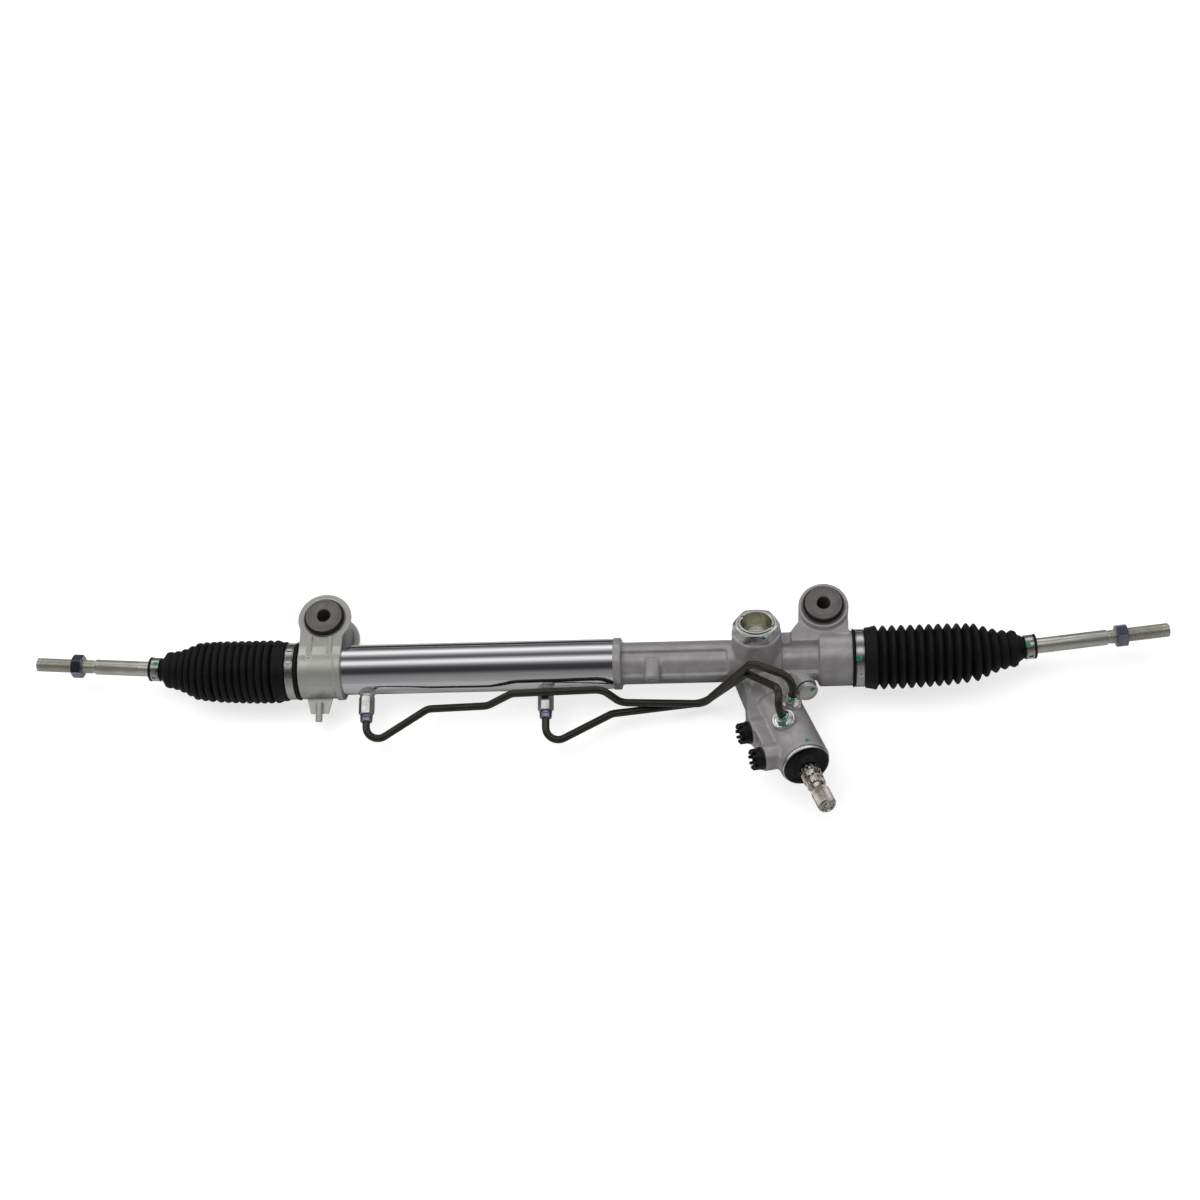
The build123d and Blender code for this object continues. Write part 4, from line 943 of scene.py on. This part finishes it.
class RACK_OT_boots(bpy.types.Operator):
    """Model each boot as a bellows in three stretches, cut at two of its valleys"""

    bl_idname = "rack.boots"
    bl_label = "Boots"

    def execute(self, context):
        settings = context.scene.rack_boots
        shapes = (
            (settings.left_radius, settings.left_depth, 2.4, left_cuff, (8, 10)),
            (settings.right_radius, settings.right_depth, 1.6, right_cuff, (10, 12)),
        )
        tail = (
            (0.0, 12.2), (0.8, 11.5), (11.6, 11.5), (12.3, 12.9), (13.8, 12.9), (14.3, 12.2), (14.3, 8.6),
        )
        for (side, out, start, ball, rod_dir, neck_at), shape in zip(ends, shapes):
            radius, depth, fullness, cuff, cuts = shape
            centre, neck = boot_path(start, out, ball, rod_dir, neck_at)
            rings, valleys = ridge_outline(settings.ridges, radius, neck_bore, depth, fullness)
            path = [(Vector((start + out * s * MM, rack_y, 0)), r * MM) for s, r in cuff]
            path += [(centre(share), size) for share, size in rings]
            first = len(cuff)
            path += [(neck + rod_dir * s * MM, r * MM) for s, r in tail]
            one, two = first + valleys[cuts[0]], first + valleys[cuts[1]]
            stretches = (
                ("cuff", path[: one + 1], "housing", "rack", path[first][0], path[one][0]),
                ("middle", path[one : two + 1], "rack", side + "_ball_seat", path[one][0], path[two][0]),
                ("neck", path[two:], side + "_ball_seat", side + "_tie_rod", path[two][0], neck),
            )
            for part, stations, body_a, body_b, low, high in stretches:
                piece = drawn(stations, 96)
                edit(piece)
                bpy.ops.mesh.normals_make_consistent(inside=False)
                modify(piece, "SOLIDIFY", thickness=settings.wall, offset=-1.0)
                low, high = Vector((low.x, rack_y, 0)), Vector((high.x, rack_y, 0))
                finish_piece(
                    piece, f"{side}_boot_{part}", (body_a, body_b, low, high), finishes["rubber"],
                    70, (side + "_boot",),
                )
        return {"FINISHED"}


def thread(point, along, length, pitch, depth, major, steps=28):
    """A helical ridge and its core, made along X and then turned onto its axis."""
    clear()
    bpy.ops.mesh.primitive_plane_add(size=1, location=(0, major - depth / 2, 0))
    ridge = bpy.context.object
    ridge.scale = (pitch * 0.96, depth * 1.1, 1)
    pick(ridge)
    bpy.ops.object.transform_apply(location=True, rotation=True, scale=True)
    edit(ridge, False)
    mesh = bmesh.from_edit_mesh(ridge.data)
    bpy.ops.mesh.select_mode(type="VERT")
    for vert in mesh.verts:
        vert.select_set(vert.co.y > major - depth / 2)
    mesh.select_flush_mode()
    bmesh.update_edit_mesh(ridge.data)
    bpy.ops.transform.resize(value=(crest_share, 1, 1), center_override=(0, major, 0))
    clear()
    turns = max(int(length / pitch) - 1, 1)
    modify(
        ridge, "SCREW", axis="X", angle=2 * pi, screw_offset=pitch, iterations=turns, steps=steps,
        render_steps=steps,
    )
    edit(ridge)
    bpy.ops.transform.translate(value=(pitch, 0, 0))
    clear()
    root = major - depth * 1.02
    core = [(0.0, root), (length - 1.6 * MM, root), (length, major - depth * 2.2)]
    body = drawn([(Vector((s, 0, 0)), r) for s, r in core] + [(Vector((length, 0, 0)), 0.0002)], 32)
    piece = join(body, ridge)
    pick(piece)
    bpy.ops.object.transform_apply(location=True, rotation=True, scale=True)
    piece.rotation_euler = Vector((1, 0, 0)).rotation_difference(along).to_euler()
    piece.location = point
    bpy.ops.object.transform_apply(location=True, rotation=True, scale=True)
    return piece


class RACK_OT_rods(bpy.types.Operator):
    """Replace the free ends of the tie rods by threads with helical ridges"""

    bl_idname = "rack.rods"
    bl_label = "Tie rods"

    def execute(self, context):
        settings = context.scene.rack_rods
        for side, _, _, ball, rod_dir, _ in ends:
            shank = copy_node(side + "_tie_rod")
            edit(shank)
            foot = ball + rod_dir * thread_start
            bpy.ops.mesh.bisect(plane_co=foot, plane_no=rod_dir, clear_outer=True)
            clear()
            screw = thread(foot, rod_dir, thread_length, settings.pitch, settings.depth, thread_major)
            piece = join(shank, screw)
            finish_piece(
                piece, side + "_rod", side + "_tie_rod", finishes[side + "_rod"], 38,
                (side + "_tie_rod",),
            )
        return {"FINISHED"}


def band_ring(point, along, start, width, inner, outer):
    """The plain turn of a clamp, with its two edges rolled outwards."""
    end = start + width
    outline = (
        (start, inner), (start, outer), (start + 0.35, outer + 0.35), (start + 0.8, outer + 0.3),
        (start + 1.1, outer), (end - 1.1, outer), (end - 0.8, outer + 0.3), (end - 0.35, outer + 0.35),
        (end, outer), (end, inner), (start, inner),
    )
    return turned(point, along, outline, 120, True)


class RACK_OT_clamps(bpy.types.Operator):
    """Model the boot clamps with their slotted tongues, and the clips at the boot necks"""

    bl_idname = "rack.clamps"
    bl_label = "Clamps and clips"

    def execute(self, context):
        tongues = ((4, 56, 116), (3, 22, 132))
        for (side, out, x, _, _, _), (first, low, high) in zip(ends, tongues):
            point, along = Vector((x, rack_y, 0)), Vector((out, 0, 0))
            ring = band_ring(point, along, first, band_width, 29.05, 29.9)

            def tongue(s, angle):
                inside = low < angle < high
                corner = (angle < low + 3 or angle > high - 3) and not first + 2 < s < first + 7
                slot = first + 3.4 < s < first + 5.6 and low + 8 < angle < low + 38 and angle % 14 < 5
                return inside and not corner and not slot

            rows = (first + 1.2, first + 2.4, first + 3.4, first + 5.6, first + 6.6, first + 7.8)
            top = strip(point, along, rows, 30.0, tongue, 0.8)
            lips = [
                strip(
                    point, along, (first + 1.6, first + 3.4, first + 5.6, first + 7.4), 30.8,
                    lambda s, angle, at=at: abs(angle - at) < 4.6, 1.1,
                )
                for at in (high - 6, low + 26)
            ]
            finish_piece(
                join(ring, top, *lips), side + "_clamp_band", "housing", finishes["band"],
                30, (side + "_boot_clamp",),
            )
        for side, _, _, ball, rod_dir, neck in ends:
            start = neck - band_width / 2
            ring = band_ring(ball, rod_dir, start, band_width, 11.55, 12.5)

            def ear(s, angle):
                window = start + 2.4 < s < start + 6.6 and 34 < angle < 58
                corner = (angle < 26 or angle > 100) and not start + 2.4 < s < start + 6.6
                return 20 < angle < 106 and not window and not corner

            rows = (start + 1.0, start + 2.4, start + 4.5, start + 6.6, start + 8.0)
            box = strip(ball, rod_dir, rows, 12.6, ear, 1.2, 120)
            crimp = strip(
                ball, rod_dir, (start + 2.0, start + 4.5, start + 7.0), 13.7,
                lambda s, angle: 60 < angle < 84, 1.4, 120,
            )
            finish_piece(
                join(ring, box, crimp), side + "_neck_clip", side + "_tie_rod", finishes["band"],
                30, (side + "_boot_clip",),
            )
        return {"FINISHED"}


class RACK_OT_lock_nuts(bpy.types.Operator):
    """Model the chamfered lock nuts on the tie rods"""

    bl_idname = "rack.lock_nuts"
    bl_label = "Lock nuts"

    def execute(self, context):
        top, back = Vector(camera_axes[1]), Vector(camera_axes[2])
        for (side, _, _, ball, rod_dir, _), (start, corner) in zip(ends, ((169.0, top), (164.5, back))):
            piece = nut(ball, rod_dir, start, nut_height, 22.0, 6.6, corner)
            finish_piece(
                piece, side + "_jam_nut", side + "_tie_rod", finishes["blue"], 25,
                (side + "_lock_nut",),
            )
        return {"FINISHED"}


class RACK_OT_guide(bpy.types.Operator):
    """Model the rack guide's plug, a deep turned cup, and the big nut that locks it"""

    bl_idname = "rack.guide"
    bl_label = "Guide plug and nut"

    def execute(self, context):
        cup = (
            (27.0, 0.2), (27.0, 18.0), (39.5, 18.3), (51.6, 18.3), (52.3, 18.5), (52.8, 18.2),
            (53.0, 17.6),
            (53.0, 16.6), (52.6, 16.0), (51.4, 15.7), (37.6, 15.7), (36.4, 15.0), (36.0, 13.4),
            (36.0, 6.0),
            (35.4, 5.2), (35.2, 0.2),
        )
        piece = turned(guide_point, guide_dir, cup, 96, True)

        def notched(s, r, angle):
            return (s - 1.6 if s > 51 and angle % 180 < 12 else s), r

        reshape(piece, guide_point, guide_dir, notched)
        twist(piece, guide_point, guide_dir, Vector((-0.8, 0.6, 0)))
        finish_piece(
            piece, "guide_cup", "housing", finishes["straw"], 35, ("guide_plug",)
        )
        piece = nut(guide_point, guide_dir, 40.0, nut_height, 43.0, 18.5, Vector((1, -0.05, 0)))
        finish_piece(
            piece, "guide_nut", "housing", finishes["guide_nut"], 20, ("guide_lock_nut",)
        )
        return {"FINISHED"}


class RACK_OT_cover(bpy.types.Operator):
    """Model the steel rim at the tower's mouth and the dished rubber cover inside it"""

    bl_idname = "rack.cover"
    bl_label = "Dust cover"

    def execute(self, context):
        rim = (
            (145.6, 23.3), (145.6, 24.3), (149.0, 24.3), (149.5, 24.1), (149.7, 23.8), (149.5, 23.5),
            (149.0, 23.3),
            (145.6, 23.3),
        )
        finish_piece(
            turned(pinion_point, pinion_dir, rim, 120, True), "cover_rim", "housing", finishes["rim"],
            50,
        )
        dish = (
            (146.1, 9.3), (146.1, 23.3), (149.2, 23.4), (149.6, 23.0), (149.4, 22.2), (148.0, 20.9),
            (147.2, 18.6),
            (147.5, 16.4), (148.6, 14.4), (150.6, 12.8), (153.2, 11.8), (154.8, 11.4), (155.6, 10.8),
            (155.8, 10.0),
            (155.6, 9.3), (146.1, 9.3),
        )
        finish_piece(
            turned(pinion_point, pinion_dir, dish, 120, True), "cover_dish", "housing", finishes["cover"],
            50, ("dust_cover",),
        )
        return {"FINISHED"}


class RACK_OT_shaft(bpy.types.Operator):
    """Model the valve shaft with its coarse spline, clamp neck and fine serrations"""

    bl_idname = "rack.shaft"
    bl_label = "Input shaft"

    def execute(self, context):
        outline = (
            (49.0, 3.95), (49.0, 8.0), (59.5, 8.0), (61.5, 13.0), (134.5, 13.0), (135.5, 9.0),
            (157.0, 9.0),
            (157.4, 9.8), (158.0, 10.4), (163.2, 10.4), (163.8, 9.0), (165.2, 9.0), (165.8, 10.4),
            (171.0, 10.4),
            (171.8, 9.4), (172.6, 8.8), (173.4, 9.6), (178.6, 9.6), (180.4, 8.6), (181.4, 7.5),
            (186.0, 7.5),
            (187.4, 8.8), (188.2, 9.3), (207.4, 9.3), (208.8, 8.7), (209.9, 7.8), (209.9, 6.4),
            (208.5, 5.6),
            (208.5, 3.8), (209.5, 3.0), (209.5, 0.25), (200.3, 0.25), (200.3, 3.95), (49.0, 3.95),
        )
        piece = turned(pinion_point, pinion_dir, outline, 144, True)

        def cut(s, r, angle):
            if 157.9 < s < 171.1 and r > 10:
                return s, r - (1.8 if angle % 30 < 12.5 else 0.0)
            if 173 < s < 179 and r > 9.5:
                return s, r - (0.9 if angle % 20 < 8 else 0.0)
            if 188 < s < 209 and r > 9:
                return s, r - (0.0, 0.45, 0.9, 0.45)[round(angle / 2.5) % 4]
            return s, r

        reshape(piece, pinion_point, pinion_dir, cut)
        finish_piece(
            piece, "valve_shaft", "input_shaft", finishes["shaft"], 22, ("input_shaft",)
        )
        return {"FINISHED"}


class RACK_OT_caps(bpy.types.Operator):
    """Model the moulded port caps with their toothed crowns and hollow middles"""

    bl_idname = "rack.caps"
    bl_label = "Port caps"

    def execute(self, context):
        outline = (
            (27.2, 0.2), (27.2, 7.0), (28.2, 7.9), (39.4, 7.9), (39.4, 11.2), (39.9, 11.7), (41.6, 11.7),
            (42.0, 11.2), (42.2, 10.9), (46.4, 10.9), (47.6, 10.8), (50.0, 10.7), (50.6, 10.2),
            (50.6, 7.9),
            (49.8, 7.4), (47.4, 7.2), (44.6, 7.0), (44.2, 6.4), (44.2, 2.8), (45.0, 2.4), (45.0, 0.2),
        )
        for name, s in cap_stations:
            start = pinion_point + pinion_dir * s * MM
            piece = turned(start, port_dir, outline, 120, True)

            def crowned(s, r, angle):
                gap = angle % 36 < 16
                if s > 47.5 and r > 7.05 and gap:
                    return 46.6, r
                if s > 42.1 and r > 10.5 and gap:
                    return s, r - 0.7
                return s, r

            reshape(piece, start, port_dir, crowned)
            finish_piece(
                piece, name + "_cap_crown", name + "_cap", finishes["cap"], 30,
                (name + "_port_cap",),
            )
        return {"FINISHED"}


class RACK_OT_pipe_nuts(bpy.types.Operator):
    """Model the tube nuts, their machined seats on the tower and the bosses on the cylinder"""

    bl_idname = "rack.pipe_nuts"
    bl_label = "Pipe nuts"

    def execute(self, context):
        for side, s, angle in pipe_stations:
            out = guide_dir * cos(radians(angle)) + side_dir * sin(radians(angle))
            start = pinion_point + pinion_dir * s * MM
            seat = (
                (29.2, 7.2), (29.2, 11.7), (30.4, 11.7), (31.0, 11.2), (31.0, 9.9), (30.5, 9.4),
                (30.5, 7.2),
                (29.2, 7.2),
            )
            ring = turned(start, out, seat, 96, True)
            finish_piece(ring, side + "_valve_seat", "housing", finishes["seat"], 30)
            body = nut(start, out, 30.1, 5.2, 14.6, 4.1, pinion_dir)
            collar = (
                (34.9, 4.1), (34.9, 6.0), (36.4, 5.8), (36.9, 5.3), (36.9, 4.6), (36.4, 4.1), (34.9, 4.1),
            )
            neck = turned(start, out, collar, 48, True)
            finish_piece(
                join(body, neck), side + "_valve_tube_nut", "housing", finishes["zinc"], 25,
                (side + "_valve_nut",),
            )
        tilt = radians(boss_drop_angle)
        drop = Vector((0, -cos(tilt), -sin(tilt)))
        for side, x in cylinder_boss_x:
            start = Vector((x, rack_y, 0))
            foot = (
                (24.2, 4.2), (24.2, 9.2), (26.6, 9.0), (27.8, 8.2), (28.4, 7.6), (30.2, 7.5),
                (30.5, 7.2), (30.5, 4.2),
                (24.2, 4.2),
            )
            finish_piece(
                turned(start, drop, foot, 64, True), side + "_cylinder_boss", "housing", finishes["plug"],
                30, (side + "_port_boss",),
            )
            body = nut(start, drop, 30.5, 18.6, 14.8, 4.1, Vector((1, 0, 0)))
            finish_piece(
                body, side + "_tube_nut", "housing", finishes["zinc"], 25,
                (side + "_cylinder_nut",),
            )
            collar = (
                (48.8, 4.1), (48.8, 6.4), (49.6, 6.7), (52.4, 6.7), (53.0, 6.1), (53.6, 6.5),
                (56.6, 6.4), (57.8, 5.6),
                (57.8, 4.1), (48.8, 4.1),
            )
            finish_piece(
                turned(start, drop, collar, 64, True), side + "_nut_collar", "housing", finishes["blue"],
                30,
            )
        return {"FINISHED"}


class RACK_OT_bushes(bpy.types.Operator):
    """Model the bush sleeves with their ringed washers, and the rubber lips round them"""

    bl_idname = "rack.bushes"
    bl_label = "Mount bushes"

    def execute(self, context):
        half = (
            (30.6, 11.0), (30.6, 18.9), (31.0, 19.2), (33.4, 19.2), (34.0, 18.6), (34.0, 16.7),
            (33.75, 16.5),
            (33.75, 16.1), (34.0, 15.9), (34.0, 8.4), (33.7, 7.7), (33.0, 7.1),
        )
        lip = (
            (28.3, 20.2), (28.6, 21.0), (29.4, 21.3), (30.2, 21.1), (30.7, 20.3), (30.7, 11.0),
            (30.6, 10.9),
        )
        for side, x in (("left", -bush_x), ("right", bush_x)):
            point = Vector((x, 0, 0))
            mirror = tuple((-s, r) for s, r in reversed(half))
            outline = half + mirror + half[:1]
            finish_piece(
                turned(point, up, outline, 120, True), side + "_bush_washers", "housing",
                finishes[side + "_bush"], 30, (side + "_bush_sleeve",),
            )
            mirror = tuple((-s, r) for s, r in reversed(lip))
            outline = mirror + lip + mirror[:1]
            finish_piece(
                turned(point, up, outline, 120, True), side + "_bush_lips", "housing", finishes["seal"],
                40, (side + "_bush_rubber",),
            )
        return {"FINISHED"}


class RACK_OT_side_plug(bpy.types.Operator):
    """Model the plug beside the tower with its dished face"""

    bl_idname = "rack.side_plug"
    bl_label = "Side plug"

    def execute(self, context):
        angle = radians(side_plug_angle)
        turn = guide_dir * cos(angle) + side_dir * sin(angle)
        face = pinion_point + (pinion_dir * side_plug_station + turn * side_plug_reach) * MM
        outline = (
            (-5.9, 0.2), (-5.9, 7.6), (-4.9, 8.5), (0.0, 8.5), (0.0, 10.2), (0.5, 10.6), (5.0, 10.6),
            (5.8, 9.9),
            (5.9, 8.6), (5.5, 8.1), (5.2, 7.4), (5.2, 0.2),
        )
        finish_piece(
            turned(face, pinion_dir, outline, 96, True), "side_plug_head", "housing", finishes["plug"],
            30, ("side_plug",),
        )
        return {"FINISHED"}


class RACK_OT_studio(bpy.types.Operator):
    """Set the camera at the photograph's angle, the floor and the strip lights"""

    bl_idname = "rack.studio"
    bl_label = "Studio"

    def execute(self, context):
        settings = context.scene.rack_studio
        clear()
        right, top, back = camera_axes
        turn = Matrix((right, top, back)).transposed().to_euler()
        bpy.ops.object.camera_add(location=camera_place, rotation=turn)
        camera = bpy.context.object
        camera.name = "camera"
        camera.data.lens = camera_lens
        camera.data.sensor_width = 36.0
        camera.data.clip_end = 20.0
        context.scene.camera = camera

        clear()
        bpy.ops.mesh.primitive_plane_add(size=floor_size, location=(0, 0, cad_box[0][2] - floor_gap))
        floor = bpy.context.object
        floor.name = "floor"
        floor.data.materials.append(floor_finish(settings))

        world = bpy.data.worlds.new("strip_light_studio")
        context.scene.world = world
        world.use_nodes = True
        tree = world.node_tree
        lit = tree.nodes["Background"]
        parts = node(tree, "SeparateXYZ")
        link(tree, node(tree, "TexCoord").outputs["Generated"], parts.inputs["Vector"])
        front = node(tree, "Math", {1: -1.0}, operation="MULTIPLY")
        link(tree, parts.outputs["Y"], front.inputs[0])
        angle = node(tree, "Math", operation="ARCTAN2")
        link(tree, parts.outputs["Z"], angle.inputs[0])
        link(tree, front.outputs["Value"], angle.inputs[1])
        share = node(tree, "MapRange", {"From Min": -pi, "From Max": pi})
        link(tree, angle.outputs["Value"], share.inputs["Value"])
        strips = node(tree, "ValToRGB")
        ramp = strips.color_ramp
        while len(ramp.elements) > 1:
            ramp.elements.remove(ramp.elements[-1])
        for k, (degree, level) in enumerate(strip_levels):
            stop = ramp.elements[0] if k == 0 else ramp.elements.new((degree + 180) / 360)
            stop.position = (degree + 180) / 360
            stop.color = (level, level, level * 1.01, 1)
        link(tree, share.outputs["Result"], strips.inputs["Fac"])
        link(tree, strips.outputs["Color"], lit.inputs["Color"])
        lit.inputs["Strength"].default_value = settings.bright
        plain = node(tree, "Background", {"Color": (1, 1, 1, 1), "Strength": 1.0})
        path = node(tree, "LightPath")
        mix = node(tree, "MixShader")
        wire(
            tree,
            (path, "Is Camera Ray", mix, "Fac"),
            (lit, "Background", mix, 1),
            (plain, "Background", mix, 2),
        )
        link(tree, mix.outputs["Shader"], tree.nodes["World Output"].inputs["Surface"])

        clear()
        card_place = (0, card_front + card_depth / 2, cad_box[0][2] + 0.001)
        bpy.ops.mesh.primitive_plane_add(size=1, location=card_place)
        card = bpy.context.object
        card.name = "black_card"
        card.scale = (card_width, card_depth, 1)
        card.data.materials.append(card_finish())
        card.visible_camera = card.visible_diffuse = card.visible_shadow = False

        bpy.ops.object.light_add(type="AREA", location=key_place, rotation=(0, radians(key_tilt), 0))
        key = bpy.context.object
        key.name = "soft_key"
        key.data.size = key_size
        key.visible_glossy = False
        key.data.energy = settings.key
        key.data.color = (1.0, 0.99, 0.97)
        context.scene.view_settings.view_transform = "Standard"
        return {"FINISHED"}


# Level of the studio round the rack, by angle: 180 either way is the horizon behind it, 0 the one in
# front and 90 overhead
strip_levels = (
    (-180, 0.06), (-166, 0.06), (-150, 0.22), (-136, 0.33), (-8, 0.33), (8, 0.26), (32, 0.19), (40, 0.10),
    (48, 0.035), (60, 0.035), (66, 0.05), (72, 0.09), (81, 0.32), (89, 0.78), (97, 0.89), (105, 0.38),
    (113, 0.10),
    (121, 0.11), (129, 0.28), (137, 0.62), (145, 1.0), (153, 0.84), (161, 0.35), (169, 0.14),
    (177, 0.075), (180, 0.06),
)
card_front = 0.11
card_depth = 0.7
card_width = 3.2
key_place = (-0.5, 0.0, 2.2)
key_tilt = -13
key_size = 1.6
floor_size = 8
floor_gap = 0.0005
floor_glow = 0.70
camera_lens = 63.0
camera_place = (0.1868, -1.0269, 1.9711)
camera_axes = (
    (0.9971263, 0.01068394, -0.075),
    (0.02589813, 0.8822864, 0.47),
    (0.07119293, -0.47059172, 0.87947427),
)


def floor_finish(settings):
    """Pale floor that the camera sees as white, and that keeps the shadow."""
    material = bpy.data.materials.new("pale_floor")
    material.use_nodes = True
    tree = material.node_tree
    shader = tree.nodes["Principled BSDF"]
    shader.inputs["Base Color"].default_value = tuple(settings.floor) + (1.0,)
    shader.inputs["Roughness"].default_value = 0.9
    shader.inputs["Specular IOR Level"].default_value = 0.1
    path = node(tree, "LightPath")
    level = node(tree, "Math", {1: floor_glow}, operation="MULTIPLY")
    link(tree, path.outputs["Is Camera Ray"], level.inputs[0])
    shader.inputs["Emission Color"].default_value = (1, 1, 1, 1)
    link(tree, level.outputs["Value"], shader.inputs["Emission Strength"])
    return material


def card_finish():
    """A dull black card that only reflections see; it darkens the upper edge of the tube."""
    material = bpy.data.materials.new("black_card")
    material.use_nodes = True
    shader = material.node_tree.nodes["Principled BSDF"]
    shader.inputs["Base Color"].default_value = (0.05, 0.05, 0.05, 1.0)
    shader.inputs["Roughness"].default_value = 1.0
    shader.inputs["Specular IOR Level"].default_value = 0.0
    return material


class RACK_PT_panel(bpy.types.Panel):
    """The steps of the dressing and their settings"""

    bl_label = "Steering Rack"
    bl_idname = "RACK_PT_panel"
    bl_space_type = "VIEW_3D"
    bl_region_type = "UI"
    bl_category = "Rack"

    def draw(self, context):
        for owner in ("rack_casting", "rack_boots", "rack_rods", "rack_fittings", "rack_studio"):
            settings = getattr(context.scene, owner)
            for name in settings.__annotations__:
                self.layout.prop(settings, name)
        for operator in operators:
            self.layout.operator(operator.bl_idname)


settings_groups = (
    ("rack_casting", CastingSettings),
    ("rack_boots", BootSettings),
    ("rack_rods", RodSettings),
    ("rack_fittings", FittingSettings),
    ("rack_studio", StudioSettings),
)
operators = (
    RACK_OT_finishes, RACK_OT_studio, RACK_OT_casting, RACK_OT_boots, RACK_OT_clamps, RACK_OT_rods,
    RACK_OT_lock_nuts, RACK_OT_guide, RACK_OT_cover, RACK_OT_shaft, RACK_OT_caps, RACK_OT_pipe_nuts,
    RACK_OT_bushes, RACK_OT_side_plug,
)


def register():
    for owner, group in settings_groups:
        bpy.utils.register_class(group)
        setattr(bpy.types.Scene, owner, bpy.props.PointerProperty(type=group))
    for operator in operators:
        bpy.utils.register_class(operator)
    bpy.utils.register_class(RACK_PT_panel)


def unregister():
    bpy.utils.unregister_class(RACK_PT_panel)
    for operator in reversed(operators):
        bpy.utils.unregister_class(operator)
    for owner, group in reversed(settings_groups):
        delattr(bpy.types.Scene, owner)
        bpy.utils.unregister_class(group)


def main():
    register()
    clear()
    bpy.ops.rack.finishes()
    bpy.ops.rack.studio()
    bpy.ops.rack.casting()
    bpy.ops.rack.boots()
    bpy.ops.rack.clamps()
    bpy.ops.rack.rods()
    bpy.ops.rack.lock_nuts()
    bpy.ops.rack.guide()
    bpy.ops.rack.cover()
    bpy.ops.rack.shaft()
    bpy.ops.rack.caps()
    bpy.ops.rack.pipe_nuts()
    bpy.ops.rack.bushes()
    bpy.ops.rack.side_plug()
    clear()


if __name__ == "__main__":
    main()
